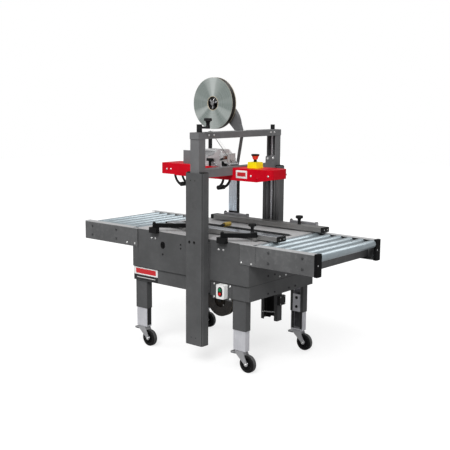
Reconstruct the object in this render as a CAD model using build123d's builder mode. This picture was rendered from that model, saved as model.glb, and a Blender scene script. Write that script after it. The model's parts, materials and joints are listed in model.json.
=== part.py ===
from build123d import *
import os
from math import cos, radians, sin

# Case sealer: cartons run along X from the infeed to the exit, past side guides and under a
# taping head that is raised and lowered between two columns. Millimetres. The front, where the
# operator stands, is at minus Y. Z is up, and the origin is on the floor under the middle.

os.makedirs("parts", exist_ok=True)

# Fits
seat_gap = 0.3
shaft_gap = 0.05
slip_gap = 0.5
pin_gap = 0.5
pass_gap = 5.0

# Body: folded side panels over a narrower skirt, with a bed plate on top
bed_top = 758.0
bed_thickness = 3.0
body_start = -471.0
body_end = 463.0
panel_thickness = 3.0
panel_half_width = 326.0
panel_flange = 30.0
panel_height = 242.0
skirt_height = 88.0
skirt_inset = 8.0
skirt_flange = 20.0
end_panel_drop = 65.0
service_hole_x = -208.0
service_hole_drop = 80.0
service_hole_width = 30.0
service_hole_height = 38.0

# Bed plate
bed_start = -440.0
bed_overhang = 21.0
bed_edge_gap = 4.0
bed_lip = 14.0
head_slot_start = -200.0
head_slot_length = 430.0
head_slot_half_width = 40.0
long_slot_start = -200.0
long_slot_length = 390.0
long_slot_width = 7.0
long_slot_first_y = 300.0
long_slot_pitch = 20.0
long_slot_count = 3

# Drive belts
belt_inner_y = 60.0
belt_width = 50.0
belt_thickness = 4.0
belt_rise = 3.0
belt_loop_height = 60.0
belt_start_inset = 60.0
belt_end_inset = 64.0
belt_slot_margin = 4.0
pulley_shaft_diameter = 20.0

# Conveyors
channel_thickness = 3.0
channel_height = 119.0
channel_flange = 42.0
infeed_length = 450.0
infeed_tongue = 47.0
exit_length = 440.0
exit_tongue = 67.0
exit_plate_reach = 47.0
seam_width = 2.0
seam_depth = 1.0
roller_diameter = 48.0
roller_wall = 2.0
roller_bearing_width = 12.0
roller_pitch = 76.0
roller_count = 6
roller_rise = 1.0
axle_diameter = 11.0
infeed_first_roller = 75.0
exit_last_roller = 7.0
beam_width = 40.0
beam_height = 54.0
beam_thickness = 3.0
beam_roller_gap = 6.0
infeed_beam_inset = 70.0
exit_beam_inset = 77.0
beam_spacing = 229.0
end_cap_length = 18.0
end_cap_wall = 3.0
end_cap_plug = 12.0

# Legs
leg_start_inset = 10.0
leg_end_inset = 32.0
leg_width = 95.0
leg_depth = 46.0
leg_thickness = 3.0
leg_lip = 21.0
leg_pad = 5.0
leg_above_skirt_edge = 75.0
outer_leg_length = 255.0
inner_leg_length = 295.0
leg_foot_thickness = 8.0
clamp_width = 55.0
clamp_length = 112.0
clamp_rise = 1.0
clamp_thickness = 3.0

# Casters
wheel_diameter = 105.0
wheel_width = 32.0
tread_radius = 8.0
wheel_hub_width = 34.0
wheel_trail = 50.0
wheel_axle_diameter = 12.0
wheel_hub_diameter = 32.0
wheel_tread = 14.0
wheel_dish = 6.0
fork_thickness = 4.0
fork_side_gap = 2.0
fork_crown_thickness = 13.0
fork_crown_width = 56.0
fork_boss_diameter = 26.0
swivel_gap = 2.0
kingpin_diameter = 16.0
kingpin_head_diameter = 24.0
kingpin_head_height = 3.0
brake_length = 36.0
brake_width = 40.0
brake_thickness = 11.0
brake_drop = 16.0

# Outer columns: folded, open towards the bed
column_x = 111.0
column_width = 134.0
column_depth = 60.0
column_thickness = 3.0
column_lip = 26.0
column_stand_off = 14.0
column_foot = 125.0
column_top = 1142.0
column_corner = 14.0
column_bend = 5.0
column_hole_x = 79.0
column_hole_pitch = 37.0
column_hole_z = 739.0
column_hole_diameter = 12.0
packer_start = 440.0
packer_length = 300.0
slider_height = 46.0
slider_rise = 4.0
slider_radius = 3.0
foot_cut_width = 62.0
foot_cut_height = 26.0
foot_box_side = 62.0
foot_box_thickness = 22.0
foot_box_bottom = 235.0
lever_height = 175.0
lever_diameter = 9.0
lever_rise = 14.0

# Lift: inner columns, crossbar and lead screws
inner_column_width = 66.0
inner_column_web_gap = 6.0
inner_column_reach = 8.0
inner_column_bottom = 560.0
crossbar_bottom = 1334.0
crossbar_height = 38.0
crossbar_width = 68.0
crossbar_end_gap = 5.0
crossbar_wall = 3.0
screw_inset = 50.0
screw_diameter = 18.0
screw_bottom = 340.0
nut_width = 40.0
nut_start = 690.0
nut_height = 26.0
nut_depth = 46.0
nut_bore_gap = 1.5

# Crank and cap on the lead screws
crank_hub_diameter = 32.0
crank_hub_height = 45.0
crank_arm_length = 65.0
crank_arm_width = 22.0
crank_arm_thickness = 12.0
crank_arm_rise = 22.0
crank_knob_height = 48.0
screw_cap_diameter = 27.0
screw_cap_height = 30.0

# Clamping knobs
knob_stem_diameter = 16.0
knob_head_diameter = 46.0
knob_head_height = 16.0
knob_edge_radius = 4.0
knob_scallop_radius = 7.0
knob_lobes = 6

# Cross arm of the head
cross_arm_bottom = 1111.0
cross_arm_height = 49.0
cross_arm_wall = 3.0
upright_inner = 235.0
upright_outer = 330.0
upright_height = 99.0
upright_thickness = 4.0
upright_corner = 8.0

# Head covers and frame
head_start = -450.0
head_end = 427.0
head_half_width = 88.0
head_top = 1155.0
head_height = 75.0
cover_thickness = 4.0
cover_start_radius = 12.0
cover_end_radius = 34.0
cover_step_length = 120.0
cover_step_height = 5.0
nose_length = 101.0
nose_rise = 18.0
cover_opening_start = -190.0
frame_sheet = 4.0
frame_gap = 1.0
frame_floor = 3.0
frame_end_gap = 12.0
frame_bridge = 18.0
frame_slot_half_width = 39.0
frame_slot_start = -405.0
deck_thickness = 3.0

# Upper taping unit
unit_half_width = 44.0
unit_plate = 4.0
unit_start = -398.0
unit_tower_start = -140.0
unit_tower_end = 60.0
unit_tower_height = 103.0
unit_tower_corner = 20.6
unit_roller_drop = 34.333333
unit_rod_diameter = 10.0
unit_roller_diameter = 24.0
unit_rod_margin = 16.0
post_x = -110.0
post_diameter = 24.0
post_height = 108.0
knob_x = -54.0
knob_y = 66.0
deck_knob_height = 50.0
plate_pair_start = -292.0
plate_pair_end = -200.0
plate_pair_height = 85.0
plate_pair_half_gap = 50.0
plate_notch = 18.0

# Roller arms of both taping units
arm_plate = 4.0
arm_half_width = 35.0
arm_bar = 16.0
arm_rise = 91.0
arm_reach = 45.0
arm_elbow_drop = 54.6
arm_elbow_reach = 5.625
arm_pin_diameter = 10.0
tape_roller_diameter = 28.0
tape_roller_length = 56.0
axle_end = 2.0
exit_arm_pivot_x = 25.0
infeed_arm_pivot_x = -378.0
arm_pivot_height = 1110.0
lower_arm_pivot_x = -62.0
lower_arm_pivot_drop = 60.0
lower_arm_roller_x = 30.0
lower_arm_roller_rise = 34.0

# Emergency stop
stop_x = 246.0
stop_base_length = 70.0
stop_base_width = 66.0
stop_base_height = 36.0
stop_base_taper = 4.0
stop_head_diameter = 44.0
stop_neck_radius = 14
stop_crown_radius = 14.666667
stop_head_height = 40.0
stop_stem_diameter = 20.0
stop_travel = 6.0
stop_bore_depth = 16.0

# Tape roll, drum and bracket
roll_x = -76.0
roll_z = 1534.0
roll_radius = 157.0
roll_width = 38.0
core_radius = 38.0
drum_rim = 5.0
drum_boss_radius = 13.0
drum_spokes = 5
drum_spoke_width = 8.0
spindle_diameter = 16.0
bracket_front = 24.0
bracket_depth = 32.0
bracket_thickness = 3.0
stay_thickness = 4.0
stay_width = 22.0
stay_y = 50.0
stay_top_inset = 23.0
stay_end_gap = 2.0
bracket_foot_width = 45.0
bracket_neck_inset = 15.0
bracket_neck_height = 38.0
bracket_neck_rise = 114.0
bracket_elbow = 25.0
bracket_hub_radius = 28.0
collar_thickness = 4.0

# Lower taping unit and tape roll
lower_unit_start = -190.0
lower_unit_end = 220.0
lower_unit_half_width = 45.0
lower_unit_bottom = 600.0
lower_unit_plate = 3.0
lower_unit_corner = 24.0
lower_rod_margin = 20.0
lower_arm_bow = 12.0
lower_roll_x = -9.0
lower_roll_z = 305.0
lower_roll_radius = 103.0
lower_hub_web = 12.0
hanger_thickness = 6.0
hanger_gap = 5.0
hanger_width = 46.0

# Side guides on parallel arms
rail_width = 70.0
rail_height = 30.0
rail_bottom = 766.0
rail_wall = 3.0
front_rail_length = 880.0
rear_rail_length = 893.0
rail_cap = 14.0
rail_offset = 19.0
front_rail_first_hinge = 185.0
rear_rail_first_hinge = 244.0
arm_spacing = 545.0
arm_radius = 190.0
arm_level = 781.0
arm_thickness = 25.0
arm_width = 22.0
arm_bow = 8.0
pivot_x = -267.0
pivot_stand_off = 14.0
pivot_block_length = 60.0
pivot_block_depth = 30.0
pivot_block_height = 34.0
pivot_pin_diameter = 12.0
pivot_cap_diameter = 20.0
pivot_cap_height = 5.0
hinge_plate_half = 15.0
front_guide_angle = 41.1
rear_guide_angle = 0.0
front_knob_offset = 664.0
rear_knob_offset = 696.0
rail_knob_height = 54.0

# Switch box
switch_x = 277.0
switch_plate_length = 145.0
switch_plate_height = 100.0
switch_plate_bottom = 410.0
switch_plate_thickness = 3.0
switch_box_width = 60.0
switch_box_height = 84.0
switch_box_depth = 34.0
switch_box_radius = 6.0
switch_pill_width = 32.0
switch_pill_height = 56.0
switch_pill_rise = 2.0
button_diameter = 18.0
button_pitch = 24.0
button_length = 16.0
button_rise = 5.0
button_gap = 0.4
button_edge_radius = 1.2000000000000002
switch_travel = 4.0
switch_box_rise = 4.0
switch_plate_offset = 56.0

# Upright duct behind the bed
duct_x = -226.0
duct_width = 70.0
duct_depth = 31.0
duct_stand_off = 40.0
duct_bottom = 640.0
duct_top = 1070.0
duct_wall = 3.0
duct_foot_height = 100.0

# Places that follow from the sizes above
bed_under = bed_top - bed_thickness
fold_z = bed_under - panel_height
skirt_bottom = fold_z - skirt_height
skirt_half_width = panel_half_width - skirt_inset
end_panel_top = bed_under - end_panel_drop
bed_end = body_end + bed_overhang
bed_half_width = panel_half_width - bed_edge_gap
channel_half_width = panel_half_width + channel_thickness
channel_bottom = bed_top - channel_height
flange_inner = channel_half_width - channel_flange
roller_half_length = flange_inner - pass_gap
roller_z = bed_top + roller_rise - roller_diameter / 2
infeed_tip = body_start - infeed_length
exit_tip = body_end + exit_length
infeed_rollers = [infeed_tip + infeed_first_roller + i * roller_pitch for i in range(roller_count)]
exit_rollers = [exit_tip - exit_last_roller - i * roller_pitch for i in reversed(range(roller_count))]
leg_half_width = skirt_half_width - panel_thickness - leg_pad
leg_inner_y = leg_half_width - leg_depth
leg_y = (leg_half_width + leg_inner_y) / 2
leg_x = (body_start + leg_start_inset + leg_width / 2, body_end - leg_end_inset - leg_width / 2)
crown_bottom = wheel_diameter + pass_gap
crown_top = crown_bottom + fork_crown_thickness
foot_z = crown_top + swivel_gap
outer_leg_top = skirt_bottom + leg_above_skirt_edge
outer_leg_bottom = outer_leg_top - outer_leg_length
wheel_z = wheel_diameter / 2
column_inner = panel_half_width + column_stand_off
column_outer = column_inner + column_depth
crossbar_half_length = column_outer - crossbar_end_gap
screw_y = column_outer - screw_inset
pivot_y = panel_half_width + pivot_stand_off
duct_y = panel_half_width + duct_stand_off
inner_web = column_outer - column_thickness - inner_column_web_gap
inner_tip = column_inner + column_thickness - inner_column_reach
crossbar_top = crossbar_bottom + crossbar_height
cross_arm_top = cross_arm_bottom + cross_arm_height
arm_x_start = column_x - inner_column_width / 2
arm_x_end = column_x + inner_column_width / 2
head_bottom = head_top - head_height
frame_half_width = head_half_width - cover_thickness
deck_top = head_top - cover_thickness
hinge_x = {"front": pivot_x + arm_radius * cos(radians(front_guide_angle)),
           "rear": pivot_x + arm_radius * cos(radians(rear_guide_angle))}
hinge_y = {"front": -pivot_y + arm_radius * sin(radians(front_guide_angle)),
           "rear": pivot_y - arm_radius * sin(radians(rear_guide_angle))}


def folded_sheet(plane, bends, thickness, side=Side.LEFT):
    """Section of a folded sheet: one face through the bends, and the thickness to one side."""
    with BuildSketch(plane) as section:
        with BuildLine():
            Polyline(*bends)
            offset(amount=thickness, side=side, kind=Kind.INTERSECTION)
        make_face()
    return section.sketch


def outline(plane, points):
    """Closed straight-edged face on a plane."""
    with BuildSketch(plane) as face:
        with BuildLine():
            Polyline(*points, close=True)
        make_face()
    return face.sketch


def draw_rect(x_range, y_range):
    """Draw a rectangle between two values each way, in the sketch being built."""
    with Locations(((x_range[0] + x_range[1]) / 2, (y_range[0] + y_range[1]) / 2)):
        Rectangle(x_range[1] - x_range[0], y_range[1] - y_range[0])


def rect(plane, x_range, y_range):
    """Rectangle on a plane between two values each way."""
    with BuildSketch(plane) as face:
        draw_rect(x_range, y_range)
    return face.sketch


def facing_front(y):
    """Plane across the machine at y, drawn as X and Z, that extrudes towards the front."""
    return Plane.XZ.offset(-y)


def block(x_range, y_range, z_range):
    """Extrude a rectangular block between two values each way, in the piece being built."""
    extrude(rect(Plane.XY.offset(z_range[0]), x_range, y_range), amount=z_range[1] - z_range[0])


def disc(plane, at, diameter, amount, mode=Mode.ADD):
    """Extrude a round bar or bore from a plane, in the piece being built."""
    with BuildSketch(plane) as face:
        with Locations(at):
            Circle(diameter / 2)
    extrude(face.sketch, amount=amount, mode=mode)


# Body panels
panel_bends = [
    (-(panel_half_width - panel_flange), bed_under),
    (-panel_half_width, bed_under),
    (-panel_half_width, fold_z),
    (-skirt_half_width, fold_z),
    (-skirt_half_width, skirt_bottom),
    (-(skirt_half_width - skirt_flange), skirt_bottom),
]
end_panel = [
    (-panel_half_width, end_panel_top),
    (-panel_half_width, fold_z),
    (-skirt_half_width, fold_z),
    (-skirt_half_width, skirt_bottom),
    (skirt_half_width, skirt_bottom),
    (skirt_half_width, fold_z),
    (panel_half_width, fold_z),
    (panel_half_width, end_panel_top),
]
with BuildPart() as body_panels:
    extrude(folded_sheet(Plane.YZ.offset(body_start), panel_bends, panel_thickness),
            amount=body_end - body_start)
    with BuildSketch(facing_front(-panel_half_width + panel_thickness)) as service_hole:
        with Locations((service_hole_x, bed_under - service_hole_drop)):
            Ellipse(service_hole_width / 2, service_hole_height / 2)
    extrude(amount=panel_thickness, mode=Mode.SUBTRACT)
    mirror(about=Plane.XZ)
    extrude(rect(facing_front(panel_half_width), (body_start, bed_start), (end_panel_top, bed_under)),
            amount=2 * panel_half_width, mode=Mode.SUBTRACT)
    extrude(outline(Plane.YZ.offset(body_start), end_panel), amount=panel_thickness)
    extrude(outline(Plane.YZ.offset(body_end - panel_thickness), end_panel), amount=panel_thickness)
    for x in leg_x:
        notch_half = leg_width / 2 + slip_gap
        inner_face = skirt_half_width - panel_thickness
        extrude(rect(Plane.XY.offset(skirt_bottom), (x - notch_half, x + notch_half),
                     (-inner_face, inner_face)),
                amount=panel_thickness, mode=Mode.SUBTRACT)
body_panels.part.label = "body_panels"
export_step(body_panels.part, "parts/body_panels.step")

# Bed plate, with slots for the belts, the lower taping unit and the frame below
belt_start = bed_start + belt_start_inset
belt_stop = bed_end - belt_end_inset
belt_top = bed_top + belt_rise
belt_z = belt_top - belt_loop_height / 2
belt_y = belt_inner_y + belt_width / 2
belt_slot_half = (belt_width / 2) + belt_slot_margin
with BuildPart() as bed_plate:
    block((bed_start, bed_end), (-bed_half_width, bed_half_width), (bed_under, bed_top))
    for x in (bed_start, bed_end - bed_thickness):
        block((x, x + bed_thickness), (-roller_half_length, roller_half_length),
              (bed_top - bed_lip, bed_top))
    head_slot = (head_slot_start, head_slot_start + head_slot_length)
    extrude(rect(Plane.XY.offset(bed_under), head_slot, (-head_slot_half_width, head_slot_half_width)),
            amount=bed_thickness, mode=Mode.SUBTRACT)
    belt_slot = (belt_start - belt_loop_height / 2 - belt_slot_margin,
                 belt_stop + belt_loop_height / 2 + belt_slot_margin)
    for y in (-belt_y, belt_y):
        extrude(rect(Plane.XY.offset(bed_under), belt_slot, (y - belt_slot_half, y + belt_slot_half)),
                amount=bed_thickness, mode=Mode.SUBTRACT)
    with BuildSketch(Plane.XY.offset(bed_under)):
        for i in range(long_slot_count):
            slot_y = long_slot_first_y - i * long_slot_pitch
            with Locations((long_slot_start + long_slot_length / 2, -slot_y),
                           (long_slot_start + long_slot_length / 2, slot_y)):
                SlotOverall(long_slot_length, long_slot_width)
    extrude(amount=bed_thickness, mode=Mode.SUBTRACT)
bed_plate.part.label = "bed_plate"
export_step(bed_plate.part, "parts/bed_plate.step")

# Two drive belts on pulleys
with BuildPart() as drive_belts:
    for y in (-belt_y, belt_y):
        with BuildSketch(facing_front(y + belt_width / 2)) as loop:
            with Locations(((belt_start + belt_stop) / 2, belt_z)):
                SlotOverall(belt_stop - belt_start + belt_loop_height, belt_loop_height)
                SlotOverall(belt_stop - belt_start + belt_loop_height - 2 * belt_thickness,
                            belt_loop_height - 2 * belt_thickness, mode=Mode.SUBTRACT)
        extrude(loop.sketch, amount=belt_width)
drive_belts.part.label = "drive_belts"
export_step(drive_belts.part, "parts/drive_belts.step")

with BuildPart() as belt_pulleys:
    for x in (belt_start, belt_stop):
        disc(facing_front(panel_half_width - panel_thickness), (x, belt_z), pulley_shaft_diameter,
             2 * (panel_half_width - panel_thickness))
        for y in (-belt_y, belt_y):
            disc(facing_front(y + belt_width / 2), (x, belt_z),
                 belt_loop_height - 2 * belt_thickness, belt_width)
belt_pulleys.part.label = "belt_pulleys"
export_step(belt_pulleys.part, "parts/belt_pulleys.step")

# Conveyor frames: side channels that lap the body, and cross beams
channel_bends = [
    (-flange_inner, channel_bottom),
    (-channel_half_width, channel_bottom),
    (-channel_half_width, bed_top),
    (-flange_inner, bed_top),
]


def conveyor_frame(start, end, flange_start, flange_end, beams):
    """Both side channels between start and end, flanged only where they pass clear of the body."""
    with BuildPart() as frame:
        extrude(folded_sheet(Plane.YZ.offset(start), channel_bends, channel_thickness, Side.RIGHT),
                amount=end - start)
        for cut in ((start, flange_start), (flange_end, end)):
            if cut[1] > cut[0]:
                extrude(rect(Plane.XY.offset(channel_bottom), cut, (-panel_half_width, 0)),
                        amount=channel_height, mode=Mode.SUBTRACT)
        mirror(about=Plane.XZ)
        beam_top = roller_z - roller_diameter / 2 - beam_roller_gap
        for x in beams:
            extrude(folded_sheet(facing_front(panel_half_width),
                                 [(x - beam_width / 2, beam_top - beam_height),
                                  (x - beam_width / 2, beam_top),
                                  (x + beam_width / 2, beam_top),
                                  (x + beam_width / 2, beam_top - beam_height)],
                                 beam_thickness, Side.RIGHT),
                    amount=2 * panel_half_width)
    return frame.part


infeed_beams = [infeed_tip + infeed_beam_inset + i * beam_spacing for i in range(2)]
infeed_conveyor_frame = conveyor_frame(infeed_tip, body_start + infeed_tongue, infeed_tip,
                                       body_start - seat_gap, infeed_beams)
infeed_conveyor_frame.label = "infeed_conveyor_frame"
export_step(infeed_conveyor_frame, "parts/infeed_conveyor_frame.step")

exit_beams = [exit_tip - exit_beam_inset - i * beam_spacing for i in range(2)]
exit_plate_end = body_end + exit_plate_reach
exit_blank = conveyor_frame(body_end - exit_tongue, exit_tip, exit_plate_end, exit_tip, exit_beams)
with BuildPart() as exit_conveyor_frame:
    add(exit_blank)
    for y in (-channel_half_width, channel_half_width - seam_depth):
        seam = (exit_plate_end - seam_width, exit_plate_end)
        extrude(rect(Plane.XY.offset(channel_bottom), seam, (y, y + seam_depth)),
                amount=channel_height, mode=Mode.SUBTRACT)
exit_conveyor_frame.part.label = "exit_conveyor_frame"
export_step(exit_conveyor_frame.part, "parts/exit_conveyor_frame.step")

# Roller axles, from web to web
with BuildPart() as roller_axles:
    with BuildSketch(facing_front(panel_half_width)):
        with Locations([(x, roller_z) for x in infeed_rollers + exit_rollers]):
            Circle(axle_diameter / 2)
    extrude(amount=2 * panel_half_width)
roller_axles.part.label = "roller_axles"
export_step(roller_axles.part, "parts/roller_axles.step")

# Rollers: a tube with a bearing in each end
roller_bore = axle_diameter / 2 + shaft_gap
roller_inner = roller_diameter / 2 - roller_wall
bearing_start = roller_half_length - roller_bearing_width


def roller(x):
    """One roller about its axle at x."""
    with BuildPart() as tube:
        with BuildSketch(Plane.YZ.offset(x)):
            with BuildLine():
                Polyline(
                    (-roller_half_length, roller_z + roller_bore),
                    (-roller_half_length, roller_z + roller_diameter / 2),
                    (roller_half_length, roller_z + roller_diameter / 2),
                    (roller_half_length, roller_z + roller_bore),
                    (bearing_start, roller_z + roller_bore),
                    (bearing_start, roller_z + roller_inner),
                    (-bearing_start, roller_z + roller_inner),
                    (-bearing_start, roller_z + roller_bore),
                    close=True,
                )
            make_face()
        revolve(axis=Axis((x, 0, roller_z), (0, 1, 0)))
    return tube.part


for side_name, places in (("infeed", infeed_rollers), ("exit", exit_rollers)):
    for number, x in enumerate(places, start=1):
        piece = roller(x)
        piece.label = f"{side_name}_roller_{number}"
        export_step(piece, f"parts/{side_name}_roller_{number}.step")

# Black caps that close the exit ends of the side channels
with BuildPart() as conveyor_end_caps:
    cap_y = (-channel_half_width - end_cap_wall, -flange_inner)
    cap_z = (channel_bottom - end_cap_wall, bed_top + end_cap_wall)
    extrude(rect(Plane.YZ.offset(exit_tip), cap_y, cap_z), amount=end_cap_length)
    fillet(conveyor_end_caps.edges().filter_by(Axis.X), end_cap_wall)
    plug_y = (-channel_half_width + channel_thickness, -channel_half_width + end_cap_plug)
    plug_z = (channel_bottom + channel_thickness, channel_bottom + channel_thickness + end_cap_plug)
    extrude(rect(Plane.YZ.offset(exit_tip), plug_y, plug_z), amount=-end_cap_plug)
    mirror(about=Plane.XZ)
conveyor_end_caps.part.label = "conveyor_end_caps"
export_step(conveyor_end_caps.part, "parts/conveyor_end_caps.step")

# Legs: a painted outer leg inside each corner of the skirt, and a zinc leg that slides in it
def leg_section(plane_z, x, half_width, y_out, y_in, lip, thickness):
    """Lipped channel about x that opens towards the middle of the machine."""
    bends = [
        (x - half_width + lip, -y_in),
        (x - half_width, -y_in),
        (x - half_width, -y_out),
        (x + half_width, -y_out),
        (x + half_width, -y_in),
        (x + half_width - lip, -y_in),
    ]
    return folded_sheet(Plane.XY.offset(plane_z), bends, thickness)


with BuildPart() as outer_legs:
    for x in leg_x:
        extrude(leg_section(outer_leg_bottom, x, leg_width / 2, leg_half_width, leg_inner_y,
                            leg_lip, leg_thickness), amount=outer_leg_length)
        block((x - leg_width / 2, x + leg_width / 2), (-leg_half_width - leg_pad, -leg_half_width),
              (skirt_bottom + panel_thickness, outer_leg_top))
    mirror(about=Plane.XZ)
outer_legs.part.label = "outer_legs"
export_step(outer_legs.part, "parts/outer_legs.step")

inner_leg_half = leg_width / 2 - leg_thickness - slip_gap
inner_leg_out = leg_half_width - leg_thickness - slip_gap
inner_leg_in = leg_inner_y + leg_thickness + slip_gap
kingpin_end = crown_bottom - seat_gap
with BuildPart() as inner_legs:
    for x in leg_x:
        extrude(leg_section(foot_z, x, inner_leg_half, inner_leg_out, inner_leg_in, leg_lip,
                            leg_thickness), amount=inner_leg_length)
        block((x - inner_leg_half, x + inner_leg_half), (-inner_leg_out, -inner_leg_in),
              (foot_z, foot_z + leg_foot_thickness))
        disc(Plane.XY.offset(foot_z), (x, -leg_y), kingpin_diameter, kingpin_end - foot_z)
        disc(Plane.XY.offset(kingpin_end), (x, -leg_y), kingpin_head_diameter, -kingpin_head_height)
        block((x - clamp_width / 2, x + clamp_width / 2),
              (-leg_inner_y, -leg_inner_y + clamp_thickness),
              (outer_leg_bottom + clamp_rise, outer_leg_bottom + clamp_rise + clamp_length))
    mirror(about=Plane.XZ)
inner_legs.part.label = "inner_legs"
export_step(inner_legs.part, "parts/inner_legs.step")


# Casters: each fork turns on its kingpin and carries a wheel and a brake pedal
fork_inner = wheel_hub_width / 2 + fork_side_gap
fork_outer = fork_inner + fork_thickness


def caster_fork(x, y):
    """Fork with crown, cheeks, axle and brake pedal, about the kingpin at x and y."""
    axle_x = x + wheel_trail
    with BuildPart() as fork:
        block((x - fork_crown_width / 2, x + fork_crown_width / 2), (y - fork_outer, y + fork_outer),
              (crown_bottom, crown_top))
        for cheek_y in (y + fork_outer, y - fork_inner):
            with BuildSketch(facing_front(cheek_y)) as cheek:
                with BuildLine():
                    Polyline(
                        (x - fork_crown_width / 2, crown_top),
                        (x + fork_crown_width / 2, crown_top),
                        (axle_x + fork_boss_diameter / 2, wheel_z),
                        (axle_x - fork_boss_diameter / 2, wheel_z),
                        (x - fork_crown_width / 2, crown_bottom),
                        close=True,
                    )
                make_face()
                with Locations((axle_x, wheel_z)):
                    Circle(fork_boss_diameter / 2)
            extrude(cheek.sketch, amount=fork_thickness)
        disc(facing_front(y + fork_outer), (axle_x, wheel_z), wheel_axle_diameter, 2 * fork_outer)
        pedal_top = crown_top - brake_drop + brake_thickness / 2
        block((x - fork_crown_width / 2 - brake_length, x - fork_crown_width / 2),
              (y - brake_width / 2, y + brake_width / 2), (pedal_top - brake_thickness, pedal_top))
        disc(Plane.XY.offset(crown_bottom), (x, y), kingpin_diameter + 2 * shaft_gap,
             fork_crown_thickness, Mode.SUBTRACT)
    return fork.part


def caster_wheel(x, y):
    """Wheel with a rounded tread and a dished hub, about the axle at x."""
    with BuildPart() as wheel:
        disc(facing_front(y + wheel_width / 2), (x, wheel_z), wheel_diameter, wheel_width)
        fillet(wheel.edges().filter_by(GeomType.CIRCLE), tread_radius)
        for face_y in (y + wheel_width / 2, y - wheel_width / 2 + wheel_dish):
            with BuildSketch(facing_front(face_y)) as dish:
                with Locations((x, wheel_z)):
                    Circle(wheel_diameter / 2 - wheel_tread)
                    Circle(wheel_hub_diameter / 2, mode=Mode.SUBTRACT)
            extrude(dish.sketch, amount=wheel_dish, mode=Mode.SUBTRACT)
        disc(facing_front(y + wheel_hub_width / 2), (x, wheel_z), wheel_hub_diameter, wheel_hub_width)
        disc(facing_front(y + wheel_hub_width / 2), (x, wheel_z),
             wheel_axle_diameter + 2 * shaft_gap, wheel_hub_width, Mode.SUBTRACT)
    return wheel.part


for end_name, x in zip(("infeed", "exit"), leg_x):
    for side_name, side in (("front", -1), ("rear", 1)):
        piece = caster_fork(x, side * leg_y)
        piece.label = f"{end_name}_{side_name}_caster_fork"
        export_step(piece, f"parts/{end_name}_{side_name}_caster_fork.step")
        piece = caster_wheel(x + wheel_trail, side * leg_y)
        piece.label = f"{end_name}_{side_name}_caster_wheel"
        export_step(piece, f"parts/{end_name}_{side_name}_caster_wheel.step")

# Outer columns, bolted to the body through packing strips
column_start = column_x - column_width / 2
column_end = column_x + column_width / 2
column_bends = [
    (column_start + column_lip, -column_inner),
    (column_start, -column_inner),
    (column_start, -column_outer),
    (column_end, -column_outer),
    (column_end, -column_inner),
    (column_end - column_lip, -column_inner),
]
column_radii = [column_bend, column_corner, column_corner, column_bend]
with BuildPart() as outer_columns:
    with BuildSketch(Plane.XY.offset(column_foot)) as column_section:
        with BuildLine():
            FilletPolyline(*column_bends, radius=column_radii)
            offset(amount=column_thickness, side=Side.LEFT)
        make_face()
    extrude(column_section.sketch, amount=column_top - column_foot)
    for x in (column_start, column_end - column_lip):
        block((x, x + column_lip), (-column_inner, -panel_half_width),
              (packer_start, packer_start + packer_length))
    with BuildSketch(facing_front(-column_outer + column_thickness)) as bolt_holes:
        with Locations((column_hole_x, column_hole_z), (column_hole_x + column_hole_pitch, column_hole_z)):
            Circle(column_hole_diameter / 2)
    extrude(bolt_holes.sketch, amount=column_thickness, mode=Mode.SUBTRACT)
    mirror(about=Plane.XZ)
    with BuildSketch(facing_front(column_outer)) as foot_cut:
        with Locations((column_x, column_foot)):
            SlotOverall(foot_cut_width, foot_cut_height)
    extrude(foot_cut.sketch, amount=column_thickness, mode=Mode.SUBTRACT)
outer_columns.part.label = "outer_columns"
export_step(outer_columns.part, "parts/outer_columns.step")

# Slider blocks at the column tops, and the nuts of the lead screws on the side panels
slider_top = column_top + slider_rise
slider_y = (-column_outer + column_corner, -column_inner - column_thickness)
with BuildPart() as lift_guides:
    block((column_start + column_thickness, arm_x_start - slip_gap), slider_y,
          (slider_top - slider_height, slider_top))
    block((arm_x_end + slip_gap, column_end - column_thickness), slider_y,
          (slider_top - slider_height, slider_top))
    fillet(lift_guides.edges().filter_by(Axis.Z), slider_radius)
    block((column_x - nut_width / 2, column_x + nut_width / 2),
          (-panel_half_width - nut_depth, -panel_half_width), (nut_start, nut_start + nut_height))
    disc(Plane.XY.offset(nut_start), (column_x, -screw_y), screw_diameter + 2 * nut_bore_gap,
         nut_height, Mode.SUBTRACT)
    mirror(about=Plane.XZ)
lift_guides.part.label = "lift_guides"
export_step(lift_guides.part, "parts/lift_guides.step")

# At the rear: small box and lever at the foot of the column, and the upright duct on its foot
lever_start = Vector(column_start + column_lip / 2, column_inner - lever_diameter / 2, lever_height)
lever_end = Vector(column_end - column_lip / 2, column_inner - lever_diameter / 2,
                   lever_height + lever_rise)
with BuildPart() as rear_fittings:
    block((column_end, column_end + foot_box_thickness),
          (column_outer - foot_box_side, column_outer), (foot_box_bottom, foot_box_bottom + foot_box_side))
    with BuildSketch(Plane(origin=lever_start, z_dir=lever_end - lever_start)):
        Circle(lever_diameter / 2)
    extrude(amount=(lever_end - lever_start).length)
    duct_span = (duct_x - duct_width / 2, duct_x + duct_width / 2)
    block(duct_span, (duct_y, duct_y + duct_depth), (duct_bottom, duct_top))
    extrude(rect(Plane.XY.offset(duct_bottom + duct_foot_height),
                 (duct_span[0] + duct_wall, duct_span[1] - duct_wall),
                 (duct_y + duct_wall, duct_y + duct_depth - duct_wall)),
            amount=duct_top - duct_bottom, mode=Mode.SUBTRACT)
    block(duct_span, (panel_half_width, duct_y), (duct_bottom, duct_bottom + duct_foot_height))
rear_fittings.part.label = "rear_fittings"
export_step(rear_fittings.part, "parts/rear_fittings.step")

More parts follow.
